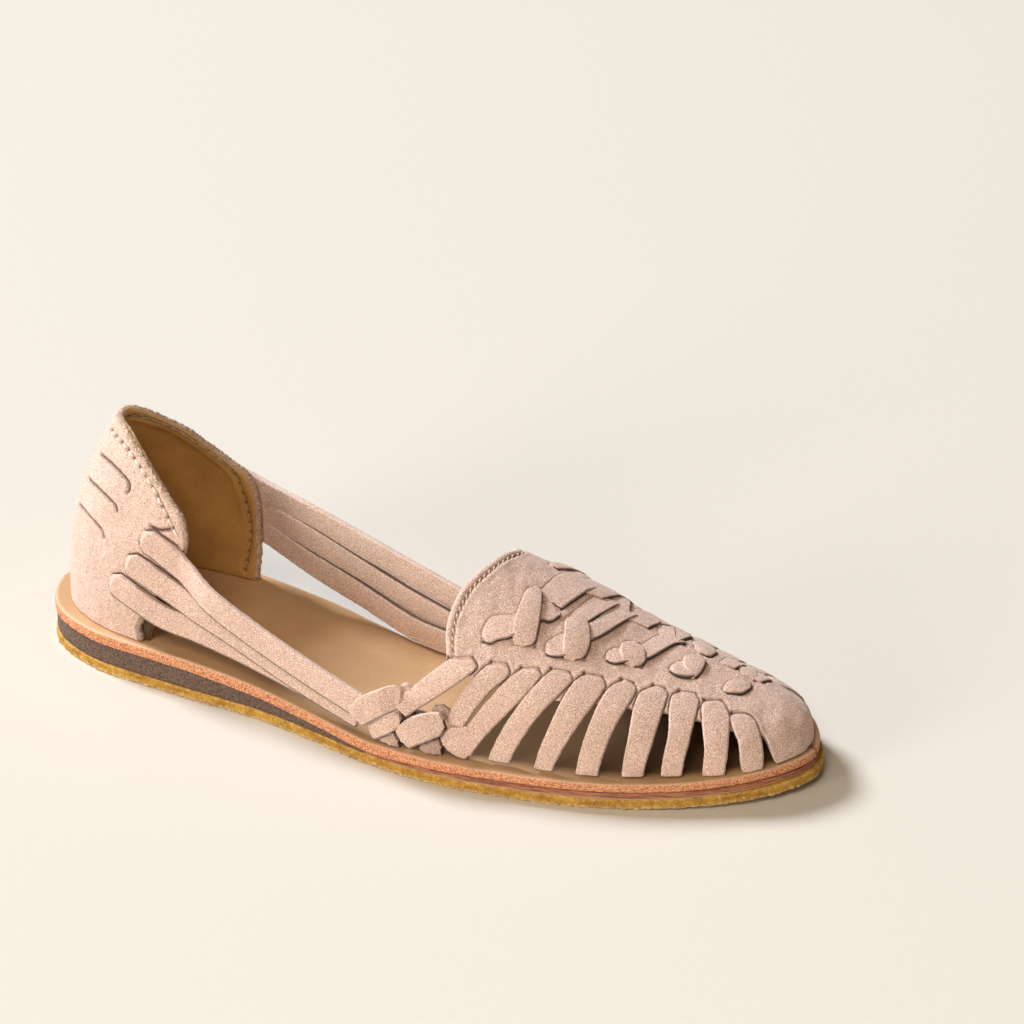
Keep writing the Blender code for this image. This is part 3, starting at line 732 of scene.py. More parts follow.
def sweep_mesh(place, half_width, thick, radius, crown):
    """Closed band: place(i, across, up, along) gives the points of each section.

    half_width has one value for each section. Returns points, faces, edge values and how far each
    point is turned to one side or the other, from -1 to 1.
    """
    side, level, out_x, out_z = PROFILE.T
    border = (out_x == 0) & (level > 0) & (np.abs(side) == 1)
    turned = np.where(border, 0.8 * side, out_x)
    count = len(half_width)
    turns = np.linspace(math.pi / 2, 0, ARC + 1)[:-1]
    bends = [(radius * math.sin(t), radius * (1 - math.cos(t)) * 0.98) for t in turns]
    rings = [(0, -along, shrink) for along, shrink in bends] + [(i, 0.0, 0.0) for i in range(count)]
    rings += [(count - 1, along, shrink) for along, shrink in bends[::-1]]
    points = []
    edges = []
    for i, along, shrink in rings:
        width = max(half_width[i] - shrink, 0.05)
        half = max(thick / 2 - shrink, 0.05)
        corner = min(radius, width * 0.95, half * 0.95)
        across = side * (width - corner) + out_x * corner
        up = thick / 2 + level * (half - corner) + out_z * corner
        up += np.where(level > 0, crown * (1 - (across / max(half_width[i], 0.1)) ** 2), 0.0)
        points.append(place(i, across, up, along))
        edges.append(np.maximum(np.abs(out_x), min(shrink / radius, 1.0)))
    faces = tube_faces(len(rings), len(PROFILE))
    return np.vstack(points), faces, np.concatenate(edges), np.tile(turned, len(rings))


def roughen(points, edge, amount, seed):
    """Small unevenness, stronger along the cut edges."""
    fine = jitter(points, 0.9, seed + 3) * (0.3 + 0.7 * np.clip(edge, 0, 1))[:, None]
    return points + amount * (jitter(points, 2.6, seed) + fine)


def leather_band(
    name, surface, edges, levels, thick, made, seed, steps, radius, crown, dives=(0.0, 0.0), rough=0.05,
    tilt=0.0, round_ends=0.0, shaded=1.0, shade_all=0.0, edge_share=EDGE_ON_BANDS,
):
    """Band between two edges on a surface, its top at the levels over the surface.

    dives are how deep the start and the end sink into a slit; tilt lifts the other edge, and round_ends is
    how far back the ends narrow. shaded is how much painted shade the other edge's side gets, and shade_all
    how much the whole band gets.
    Returns the band's outline and its shaded edge on the surface.
    """
    t = np.linspace(-1, 1, steps)
    t = 0.5 + 0.5 * np.sign(t) * (1 - (1 - np.abs(t)) ** 1.5)
    one, other = (through(places, t, surface(np.array(places, float), 0.0)) for places in edges)
    centre = (one + other) / 2
    half = (other - one) / 2
    one_spots = surface(one, 0.0)
    other_spots = surface(other, 0.0)
    half_width = np.maximum(np.linalg.norm(other_spots - one_spots, axis=1) / 2, LEAST_HALF_WIDTH)
    run = run_along(surface(centre, 0.0))
    left = run[-1] - run
    ahead = np.gradient(centre, run, axis=0)
    if round_ends:
        inwards = 1 - np.minimum(np.minimum(run, left) / round_ends, 1.0)
        narrowed = 0.25 + 0.75 * (1 - inwards**END_ROUND) ** (1 / END_ROUND)
        half = half * narrowed[:, None]
        half_width = half_width * narrowed
    start, middle, end = levels
    level = middle + (start - middle) * (1 - rise(t, 0, LEVEL_SHARE))
    level += (end - middle) * (1 - rise(1 - t, 0, LEVEL_SHARE))
    level -= dives[0] * (1 - rise(run, 0, DIVE_LENGTH)) + dives[1] * (1 - rise(left, 0, DIVE_LENGTH))

    def place(i, across, up, forward):
        share = (across / half_width[i])[:, None]
        places = centre[i] + share * half[i] + forward * ahead[i]
        return surface(places, up + level[i] - thick + tilt * share[:, 0])

    points, faces, edge, turn = sweep_mesh(place, half_width, thick, radius, crown)
    points = roughen(points, edge, rough, seed)
    # Painted shade along the other edge's side, where shadow falls, or over the whole band.
    crease = np.maximum(shaded * np.clip(turn, 0, 1), shade_all)
    make_piece(name, points, faces, made, "suede", edge=edge * edge_share, crease=crease)
    return np.vstack((one_spots, other_spots[::-1])), other_spots


def free_band(centre, up, half_width, thick, lift, crown=0.3, radius=0.6):
    """A band through the air: centre line points, and the direction of its width at each."""
    along = unit(np.gradient(centre, axis=0))
    wide = unit(up - along * (up * along).sum(-1, keepdims=True))
    out = np.cross(along, wide)

    def place(i, sideways, upward, forward):
        offset = sideways[:, None] * wide[i] + (upward + lift[i])[:, None] * out[i]
        return centre[i] + offset + forward * along[i]

    half = wide * half_width[:, None]
    outline = np.vstack((centre + half, (centre - half)[::-1]))
    return *sweep_mesh(place, half_width, thick, radius, crown), outline


def signed_distance(points, ring):
    """Distance of flat points to a closed outline: negative inside."""
    best = np.full(len(points), 1e9)
    inside = np.zeros(len(points), bool)
    for p, q in zip(ring, np.roll(ring, -1, axis=0)):
        run = q - p
        t = np.clip(((points - p) @ run) / max(run @ run, 1e-12), 0, 1)
        best = np.minimum(best, np.linalg.norm(points - p - t[:, None] * run, axis=1))
        crosses = (p[1] > points[:, 1]) != (q[1] > points[:, 1])
        if abs(run[1]) > 1e-12:
            inside ^= crosses & (points[:, 0] < p[0] + (points[:, 1] - p[1]) * run[0] / run[1])
    return np.where(inside, -best, best)


def outline_distance(points, outline):
    """Signed distance of surface points to an outline on the surface, seen square to it."""
    centre = outline.mean(0)
    _, _, axes = np.linalg.svd(outline - centre, full_matrices=False)
    ring = (outline - centre) @ axes.T
    flat = (points - centre) @ axes.T
    span = np.abs(ring[:, 0]).max() + OUTLINE_REACH
    close = (np.linalg.norm(points - centre, axis=1) < span) & (np.abs(flat[:, 2]) < OUTLINE_DEPTH)
    result = np.full(len(points), FAR)
    result[close] = signed_distance(flat[close, :2], ring[:, :2])
    return result


def line_distance(points, line):
    """Distance of points to a line of close points."""
    tree = KDTree(len(line))
    for i, p in enumerate(line):
        tree.insert(Vector(p), i)
    tree.balance()
    return np.array([tree.find(Vector(p))[2] for p in points])


# ---------------------------------------------------------------- materials


class Tree:
    """Short calls for building one material's nodes."""

    def __init__(self, name):
        self.material = bpy.data.materials.new(name)
        self.material.use_nodes = True
        self.nodes = self.material.node_tree.nodes
        self.links = self.material.node_tree.links
        self.shader = self.nodes["Principled BSDF"]
        self.place = self.add("ShaderNodeTexCoord").outputs["Object"]

    def add(self, kind, inputs=(), **settings):
        """A node with its settings, and with its inputs linked to sockets or set to plain values."""
        node = self.nodes.new(kind)
        for key, value in settings.items():
            setattr(node, key, value)
        for key, value in dict(inputs).items():
            self.join(value, node.inputs[key])
        return node

    def join(self, value, socket):
        """Link a socket, or set a plain value."""
        if isinstance(value, bpy.types.NodeSocket):
            self.links.new(value, socket)
        else:
            socket.default_value = value

    def texture(self, kind, size_mm, stretch=(1, 1, 1), inputs=(), **settings):
        """A texture node with features about size_mm wide, stretched along the object's axes."""
        mapping = self.add("ShaderNodeMapping", {"Scale": stretch, "Vector": self.place})
        inputs = {"Vector": mapping.outputs["Vector"], "Scale": 1 / (size_mm * MM), **dict(inputs)}
        return self.add(kind, inputs, **settings)

    def noise(self, size_mm, detail=3.0, rough=0.5, stretch=(1, 1, 1), distortion=0.0):
        """Noise with values from 0 to 1 round 0.5."""
        inputs = {"Detail": detail, "Roughness": rough, "Distortion": distortion}
        return self.texture("ShaderNodeTexNoise", size_mm, stretch, inputs).outputs["Fac"]

    def attribute(self, name):
        return self.add("ShaderNodeAttribute", attribute_name=name).outputs["Fac"]

    def math(self, operation, a, b, clamp=False):
        return self.add("ShaderNodeMath", {0: a, 1: b}, operation=operation, use_clamp=clamp).outputs[0]

    def times(self, a, b, clamp=False):
        return self.math("MULTIPLY", a, b, clamp)

    def plus(self, a, b):
        return self.math("ADD", a, b)

    def spread(self, value, low, high, to_low=0.0, to_high=1.0):
        """Map a value's range to another, held at its ends."""
        inputs = {"Value": value, "From Min": low, "From Max": high, "To Min": to_low, "To Max": to_high}
        return self.add("ShaderNodeMapRange", inputs, interpolation_type="SMOOTHSTEP").outputs["Result"]

    def mix(self, share, a, b):
        """Colour b over colour a by a share."""
        node = self.add("ShaderNodeMix", {"Factor": share}, data_type="RGBA")
        colours = [socket for socket in node.inputs if socket.type == "RGBA"]
        for value, socket in zip((a, b), colours):
            self.join((*value, 1.0) if isinstance(value, tuple) else value, socket)
        return next(socket for socket in node.outputs if socket.type == "RGBA")

    def over(self, base, colour, value, *span, on=None):
        """A colour over the base where a value lies in a span, or only as far as an attribute says."""
        share = self.spread(value, *span)
        if on:
            share = self.times(self.attribute(on), share)
        return self.mix(share, base, colour)

    def creased(self, base, dark, strength=0.9):
        """The base with painted shade: a dark colour laid over it as far as the attribute crease says; also
        that share.
        """
        crease = self.times(self.attribute("crease"), strength, clamp=True)
        return self.mix(crease, base, dark), crease

    def bump(self, height, distance_mm, strength):
        inputs = {"Strength": strength, "Distance": distance_mm * MM, "Height": height}
        return self.add("ShaderNodeBump", inputs).outputs["Normal"]

    def finish(self, colour, roughness, normal=None, **constants):
        """The finished material, with its shader's constants set on their own sockets."""
        self.join(colour, self.shader.inputs["Base Color"])
        self.join(roughness, self.shader.inputs["Roughness"])
        if normal is not None:
            self.join(normal, self.shader.inputs["Normal"])
        for key, value in constants.items():
            self.shader.inputs[key.replace("_", " ")].default_value = value
        return self.material


def scaled(colour, share):
    return tuple(min(c * share, 1.0) for c in colour)


def suede_material(name, colour, grain=1.0):
    """Napped leather: brushed patches, short speckled fibres, raw paler edges, and painted shade in
    furrows, gaps and shadowed sides.
    """
    tree = Tree(name)
    brushed = tree.noise(16.0, distortion=0.6)
    patches = tree.noise(4.0, 4.0, 0.6)
    fibres = tree.noise(0.36, 2.0, 0.6)
    speckle = tree.noise(0.4, 1.0, 0.6, (1.0, 1.0, 1.3))
    base = tree.over(scaled(colour, 0.93), scaled(colour, 1.06), brushed, 0.32, 0.68)
    base = tree.over(base, scaled(colour, 0.88), patches, 0.3, 0.7, 0.0, 0.3)
    base = tree.over(base, scaled(colour, 0.36), fibres, 0.32, 0.58, 0.75 * grain, 0.0)
    base = tree.over(base, scaled(colour, 1.5), speckle, 0.46, 0.66, 0.0, 0.85 * grain)
    base = tree.over(base, SUEDE_EDGE, fibres, 0.35, 0.65, 0.35, 0.85, on="edge")
    # Painted shade: the colour goes to a tenth where shade is painted, and the sheen fades there.
    base, crease = tree.creased(base, scaled(colour, 0.10))
    tree.join(tree.spread(crease, 0.0, 0.8, 0.22, 0.0), tree.shader.inputs["Sheen Weight"])
    normal = tree.bump(tree.plus(tree.times(fibres, 0.7), tree.times(patches, 0.5)), 0.28 * grain, 0.9)
    sheen = (1.0, 0.9, 0.85, 1.0)
    return tree.finish(base, 0.95, normal, Sheen_Roughness=0.5, Sheen_Tint=sheen, Specular_IOR_Level=0.12)


def lining_material():
    """Smooth mustard lining leather, clouded and grained, with a raw rim and painted shade in its seam, its
    stitch holes and behind the notch.
    """
    tree = Tree("lining_leather")
    brushed = tree.noise(14.0, 4.0)
    grain = tree.noise(0.7, 3.0, 0.7)
    tone = tree.over((0.51, 0.285, 0.085), (0.66, 0.385, 0.118), brushed, 0.3, 0.7)
    tone = tree.over(tone, (0.36, 0.18, 0.05), grain, 0.35, 0.6, 0.22, 0.0)
    tone = tree.over(tone, (0.62, 0.45, 0.28), grain, 0.35, 0.65, 0.2, 0.9, on="edge")
    # Painted shade: near-black brown where the lining stands in shadow.
    tone, _ = tree.creased(tone, (0.05, 0.028, 0.012), 0.85)
    rough = tree.spread(grain, 0.3, 0.7, 0.5, 0.66)
    return tree.finish(tone, rough, tree.bump(grain, 0.14, 0.5), Specular_IOR_Level=0.35)


def insole_material():
    """Smooth tan top with a raw, speckled salmon side, a pale worn corner and painted shade inside the toe.
    """
    tree = Tree("insole_leather")
    cloud = tree.noise(26.0, 4.0)
    pores = tree.noise(0.8, 3.0, 0.7)
    chips = tree.noise(0.6, 3.0, 0.75, (1.0, 1.0, 1.4))
    side = tree.attribute("side")
    top = tree.over((0.53, 0.325, 0.166), (0.63, 0.40, 0.217), cloud, 0.3, 0.7)
    top = tree.over(top, (0.36, 0.205, 0.10), pores, 0.32, 0.55, 0.22, 0.0)
    raw = tree.over((0.36, 0.105, 0.04), (0.92, 0.46, 0.25), chips, 0.38, 0.60)
    colour = tree.mix(side, top, raw)
    colour = tree.over(colour, (0.80, 0.52, 0.33), chips, 0.3, 0.6, 0.5, 1.0, on="edge")
    # Painted shade: dark brown where the insole lies in the toe's shadow.
    colour, _ = tree.creased(colour, (0.085, 0.045, 0.022))
    normal = tree.bump(tree.plus(tree.times(chips, side), tree.times(pores, 0.25)), 0.4, 0.6)
    rough = tree.plus(tree.times(side, 0.32), tree.spread(pores, 0.3, 0.7, 0.48, 0.6))
    # Less gloss where shade is painted, so the painted shadow shows no grey reflection.
    gloss = tree.spread(tree.attribute("crease"), 0.0, 0.8, 0.35, 0.02)
    tree.join(gloss, tree.shader.inputs["Specular IOR Level"])
    return tree.finish(colour, rough, normal)


def crepe_material():
    """Amber crepe: cloudy, pitted and ragged."""
    tree = Tree("crepe_rubber")
    cloud = tree.noise(5.0, 5.0, 0.65, (1.0, 1.0, 1.8))
    pits = tree.noise(0.9, 4.0, 0.75)
    colour = tree.over((0.38, 0.175, 0.016), (0.63, 0.355, 0.052), cloud, 0.34, 0.66)
    colour = tree.over(colour, (0.24, 0.11, 0.015), pits, 0.34, 0.50, 0.5, 0.0)
    colour = tree.over(colour, (0.95, 0.80, 0.46), pits, 0.58, 0.72, 0.0, 0.8)
    colour = tree.over(colour, (0.95, 0.82, 0.52), pits, 0.4, 0.6, 0.1, 0.8, on="edge")
    normal = tree.bump(tree.plus(pits, tree.times(cloud, 0.6)), 0.5, 0.8)
    return tree.finish(colour, 0.72, normal, Specular_IOR_Level=0.3)


def wedge_material():
    """Dark micro rubber with a fine pebbled side."""
    tree = Tree("wedge_rubber")
    pebbles = tree.texture("ShaderNodeTexVoronoi", 1.0, feature="SMOOTH_F1").outputs["Distance"]
    fine = tree.noise(0.6, 3.0, 0.7)
    colour = tree.over((0.07, 0.045, 0.034), (0.22, 0.145, 0.11), fine, 0.35, 0.65)
    colour = tree.over(colour, (0.22, 0.17, 0.14), pebbles, 0.1, 0.5, 0.35, 0.0)
    normal = tree.bump(tree.math("SUBTRACT", fine, pebbles), 0.45, 0.8)
    return tree.finish(colour, 0.8, normal, Specular_IOR_Level=0.3)


def midsole_material():
    """Reddish-brown leather edge with lines of pressed fibres."""
    tree = Tree("midsole_leather")
    lines = tree.noise(0.5, 3.0, 0.6, (0.08, 0.08, 1.0))
    spots = tree.noise(0.9, 3.0, 0.7)
    colour = tree.over((0.22, 0.075, 0.035), (0.46, 0.19, 0.10), lines, 0.35, 0.65)
    colour = tree.over(colour, (0.62, 0.30, 0.18), spots, 0.55, 0.75, 0.0, 0.5)
    colour = tree.mix(tree.times(tree.attribute("edge"), 0.8), colour, (0.70, 0.52, 0.36))
    normal = tree.bump(tree.plus(lines, tree.times(spots, 0.5)), 0.3, 0.6)
    return tree.finish(colour, 0.6, normal, Specular_IOR_Level=0.35)


def thread_material(name, colour):
    """Sewing thread with a fine twist."""
    tree = Tree(name)
    strands = tree.noise(0.35, 2.0, 0.6)
    tone = tree.over(scaled(colour, 0.6), scaled(colour, 1.15), strands, 0.35, 0.65)
    return tree.finish(tone, 0.8, tree.bump(strands, 0.15, 0.6), Sheen_Weight=0.2)


def floor_material():
    """Plain pale paper."""
    tree = Tree("paper")
    tone = tree.over(FLOOR_COLOUR, scaled(FLOOR_COLOUR, 0.99), tree.noise(3.0, 2.0), 0.3, 0.7)
    return tree.finish(tone, 0.9, Specular_IOR_Level=0.1)


# ---------------------------------------------------------------- the sole


def layer_mesh(x_from, x_to, low, high, profile, waves, top_points, ragged=()):
    """Closed layer that follows the sole's outline; the ragged waves fade out up its side.

    profile has one row a point up the side: inset, share of the height, and the attributes'
    values there. Returns points, faces and the attributes.
    """
    steps = np.arange(SOLE_STATIONS + 1)
    stations = LENGTH * (1 - np.cos(math.pi * steps / SOLE_STATIONS)) / 2
    stations = stations[(stations > x_from + 0.01) & (stations < x_to - 0.01)]
    stations = np.concatenate(([x_from], stations, [x_to]))
    loops = []
    marks = []
    for side in (1, -1):
        for inset, share, *mark in profile[::side]:
            x = inset + stations * (LENGTH - 2 * inset) / LENGTH
            y = edge_y(x, side, inset)
            points = np.stack((x, y, low(x) + (high(x) - low(x)) * share), -1)
            off = y - (edge_y(x, 1, inset) + edge_y(x, -1, inset)) / 2
            wobble = ripples(points, waves) + max(0.0, 1 - share * 2.2) * ripples(points, ragged)
            points[:, 1] += np.sign(off) * wobble * rise(np.abs(off), 0.0, 3.0)
            loops.append(points)
            marks.append(mark)
        near, other = (edge_y(x, end, inset) for end in (side, -side))
        z = points[:, 2]
        for t in np.linspace(0, 1, top_points + 2)[1:-1]:
            loops.append(np.column_stack((x, near + (other - near) * t, z)))
            marks.append([0.0] * len(mark))
    grid = np.stack(loops, 1)
    rows, columns = grid.shape[:2]
    return grid.reshape(-1, 3), tube_faces(rows, columns), np.tile(marks, (rows, 1)).T


def filler_low(x):
    return crepe_top(x) + FILLER_GAP


def filler_high(x):
    return insole_bottom(x) - FILLER_GAP


def build_sole():
    """The insole, the crepe, the heel wedge and the midsole, one table of its side to each."""
    insole_side = (
        (0.7, 0, 0, 1), (0.25, 0.02, 0, 1), (0.1, 0.14, 0, 1), (0.06, 0.3, 0, 1), (0.05, 0.5, 0, 1),
        (0.08, 0.7, 0, 1), (0.14, 0.84, 0.2, 1), (0.26, 0.93, 0.9, 0.9), (0.5, 0.98, 1, 0.5),
        (0.9, 1, 0.5, 0), (1.5, 1, 0, 0),
    )
    waves = ((0.10, 2.2, 3), (0.05, 0.9, 4))
    levels = (insole_bottom, insole_top)
    points, faces, (edge, side) = layer_mesh(SOLE_FROM, SOLE_TO, *levels, insole_side, waves, 30)
    x, y, _ = points.T
    inside = np.minimum(edge_y(x, 1, 0.0) - y, y - edge_y(x, -1, 0.0))
    # Painted shade inside the toe, growing away from the edge, on the insole's top only.
    crease = rise(x, *SHADED_FROM) * rise(inside, 3.0, 6.0) * (side < 0.01)
    make_piece(
        "insole_board", points, faces, insole_material(), "insole_leather", ["insole"],
        edge=edge, side=side, crease=crease,
    )

    crepe_side = (
        (1.6, 0, 0), (0.8, 0, 0.5), (0.35, 0.05, 1), (0.2, 0.16, 0.8), (0.15, 0.34, 0.2),
        (0.2, 0.55, 0), (0.25, 0.76, 0), (0.3, 0.9, 0.2), (0.5, 1, 0.3), (1.2, 1, 0),
    )
    waves = ((0.12, 1.6, 13),)
    ragged = ((0.35, 3.0, 11), (0.3, 1.2, 12))
    levels = (floor_z, crepe_top)
    points, faces, (edge,) = layer_mesh(SOLE_FROM, SOLE_TO, *levels, crepe_side, waves, 12, ragged)
    toe = rise(points[:, 0], LENGTH - CREPE_TOE, CREPE_TOE)
    points[:, 0] += CREPE_TOE_LONGER * toe
    points[:, 1] *= 1 + CREPE_TOE_WIDER * toe
    make_piece("crepe_outsole", points, faces, crepe_material(), "crepe_rubber", ["outsole"], edge=edge)

    levels = (filler_low, filler_high)
    wedge_side = (
        (1.4, 0), (0.75, 0.02), (0.62, 0.12), (0.6, 0.35), (0.6, 0.6), (0.62, 0.85), (0.75, 0.98), (1.4, 1),
    )
    waves = ((0.07, 1.3, 21),)
    points, faces, _ = layer_mesh(SOLE_FROM, WEDGE_END, *levels, wedge_side, waves, 6)
    make_piece("wedge_block", points, faces, wedge_material(), "wedge_rubber", ["heel_wedge"])

    midsole_side = (
        (1.6, 0, 0), (0.55, 0, 1), (0.42, 0.1, 0.8), (0.5, 0.2, 0), (0.55, 0.5, 0), (0.65, 0.72, 0),
        (1.1, 0.84, 0), (1.5, 1, 0),
    )
    waves = ((0.06, 2.5, 31),)
    points, faces, (edge,) = layer_mesh(WEDGE_END, SOLE_TO, *levels, midsole_side, waves, 6)
    made = midsole_material()
    make_piece("midsole_edge", points, faces, made, "midsole_leather", ["forefoot_midsole"], edge=edge)


# ---------------------------------------------------------------- the vamp


def build_ribs(suede):
    """Ribs of both sides; returns their outlines and each slit's corner, which the panel shows as a pressed
    hole painted with shade.
    """
    outlines = []
    for side, word in SIDES:
        for i, edges in enumerate(RIBS if side < 0 else INNER_RIBS + RIBS[len(INNER_RIBS):]):
            outline, _ = leather_band(
                f"rib_{word}_{i}", vamp_surface(side), edges, RIB_LEVELS if i else FIRST_RIB_LEVELS[side],
                RIB_THICK, suede, 100 + 10 * i, 84, radius=0.45, crown=0.2, dives=(0.5, 0.0), shaded=0.75,
            )
            x, share = edges[0][0]
            outlines.append((outline, on_last(x - 0.4, side * (share - 0.004))))
    return outlines


def build_weave(suede):
    """Loops, leaves and crossing bands on the panel; returns their outlines and shaded edges."""
    outlines = []
    for side, word in SIDES:
        for i, (name, *edges, levels) in enumerate(WEAVE):
            if side > 0:
                if name.startswith(("cross", "over")):
                    continue
                edges = [[(x, max(share, RIDGE_CLEAR)) for x, share in edge] for edge in edges]
                levels = [INNER_WEAVE_FLATTER * level for level in levels]
            loop = name.startswith("loop")
            outlines.append(leather_band(
                f"{name}_{word}", vamp_surface(side), edges, levels, 1.3, suede, 300 + 10 * i, 50,
                radius=0.35, crown=0.25 if loop else 0.08, dives=(0.3, 0.3), rough=0.04,
                tilt=0.1 if loop else 0.4, round_ends=2.4 if loop else 0.8, edge_share=0.1,
            ))
    for i, (name, *edges, levels) in enumerate(RIDGE_ENDS):
        outlines.append(leather_band(
            name, vamp_surface(-1), edges, [0.6 * level for level in levels], 1.0, suede, 500 + 10 * i, 40,
            radius=0.3, crown=0.1, dives=(0.3, 0.0), rough=0.06, tilt=0.25, edge_share=0.1,
        ))
    return outlines


def odd(values):
    """The values, with one more between the middle ones when their count is even."""
    if len(values) % 2:
        return values
    middle = len(values) // 2
    return np.insert(values, middle, (values[middle - 1] + values[middle]) / 2)


def tongue_x(share):
    """Station of the tongue's rear edge."""
    return PANEL_FROM + curve(TONGUE, np.clip(share, -1.0, 1.0))


def panel_grid():
    """Stations and shares of the panel's points, closer together at its edges."""
    fine = np.linspace(PANEL_FROM, VAMP_FRONT, 4000)
    run = run_along(last_base(fine, np.zeros(len(fine))))
    places = np.linspace(0, run[-1], int(run[-1] / PANEL_CELL))
    places = np.sort(np.concatenate((places, (0.06, 0.16, 0.28))))
    stations = np.interp(odd(places), run, fine)[:, None]
    across = np.linspace(-1, 1, int(PANEL_ACROSS / PANEL_CELL))
    borders = np.array((0.9988, 0.9965, 0.994))
    across = odd(np.sort(np.concatenate((across, borders, -borders))))[None, :]
    share = across * curve(PANEL_EDGE, stations)
    fade = np.maximum(0.0, 1 - (stations - PANEL_FROM) / TONGUE_FADE)
    return stations + (tongue_x(share) - PANEL_FROM) * fade, share


def tongue_seam():
    """Points along the tongue's edge, a little inside it."""
    share = np.linspace(-0.615, 0.615, 320)
    return tongue_x(share) + TONGUE_SEAM, share


def build_panel(suede, rib_outlines, weave_outlines):
    """Centre panel and toe cap as one wall, pressed in under the ribs, with lips at the slits, painted
    shade in its furrows and on its underside.
    """
    grid = on_last(*panel_grid())
    relief = Relief(grid, ((0.12, 9.0, 51), (0.05, 3.5, 52)))
    points = relief.points
    # Each furrow below is painted with shade as well as pressed in.
    for outline, _ in rib_outlines:
        distance = outline_distance(points, outline)
        relief.press(distance, depth=0.8, soft=0.6)
        relief.swell(distance, height=0.18, at=1.0, width=0.8)
        relief.groove(distance - 0.1, width=0.3, depth=0.3, dark=0.9)
    for outline, shaded in weave_outlines:
        distance = outline_distance(points, outline)
        relief.press(distance, depth=0.35, soft=0.7)
        relief.groove(distance - 0.05, width=0.3, depth=0.08, dark=0.3)
        # Painted shade along each band's shaded edge, where its shadow falls on the panel.
        near = np.where(distance > -0.5, line_distance(points, shaded), FAR)
        relief.groove(near, width=0.42, depth=0.35, dark=1.0)
    holes = line_distance(points, [corner for _, corner in rib_outlines])
    relief.groove(holes, width=0.5, depth=0.8, dark=1.3)
    seam = line_distance(points, on_last(*tongue_seam()))
    relief.groove(seam, width=0.5, depth=0.4, dark=0.95, dark_width=0.4)
    relief.swell(seam, height=0.2, at=1.3, width=0.8)
    cut = ("first", "left", "right")
    # The panel's underside gets painted shade.
    build_wall("vamp_panel", grid, PANEL_THICK, cut, relief, 0.2, suede, "suede", hidden=0.8)


# ---------------------------------------------------------------- the heel counter


def counter_grid(depth, outer_front):
    """Columns run from the outer wing's front round the back to the inner wing's front."""
    t = np.linspace(-1, 1, COUNTER_COLUMNS)
    up = np.linspace(0, 1, COUNTER_ROWS)
    up = odd(np.sort(np.concatenate((up, (0.9985, 0.9965, 0.9945)))))
    front_fine = np.array((0.9988, 0.9972, 0.9955))
    t = odd(np.sort(np.concatenate((t, front_fine, -front_fine))))
    reach = np.abs(t) ** COUNTER_DENSER
    outer = t < 0
    rims = [curve(table, reach * table[-1][0]) for table in (OUTER_RIM, INNER_RIM)]
    height = up[:, None] * np.where(outer, *rims)
    front = np.where(outer, curve(outer_front, height), curve(INNER_FRONT, height))
    return on_counter(height, reach * front, np.where(outer, -1.0, 1.0), depth)


def counter_line(places, side, depth=0.0, steps=60):
    """Close points on the counter along stations and heights."""
    x, height = through(places, np.linspace(0, 1, steps)).T
    return at_station(x, height, side, -depth)


def spaced(line, pitch, start=0.5):
    """Places along a line every pitch millimetres, with the direction at each."""
    run = run_along(line)
    at = np.arange(start * pitch, run[-1], pitch)
    along = unit(np.gradient(line, axis=0))
    spots, ways = (np.stack([np.interp(at, run, v) for v in rows.T], -1) for rows in (line, along))
    return spots, unit(ways)


def rim_seam(side):
    """Stitch line along the rim of one side."""
    return counter_line(OUTER_STITCHES if side < 0 else INNER_STITCHES, side, steps=200)


def lining_seam():
    """Stitch line on the lining, from the inner wing's foot round the back to the outer one."""
    depth = SUEDE_THICK + LINING_THICK
    inner = counter_line(LINING_STITCHES, 1, depth, 200)
    outer = counter_line(LINING_STITCHES[:7], -1, depth, 160)
    station, height = LINING_STITCHES[0]
    behind = (station - curve(COUNTER, height, 1)) * np.linspace(0.98, 0.0, 16)
    raised = height + 2.0 * (1 - (behind / behind[0]) ** 2)
    back = [on_counter(raised, behind, side, depth) for side in (1, -1)]
    return np.vstack((inner[::-1], back[0], back[1][-2::-1], outer))


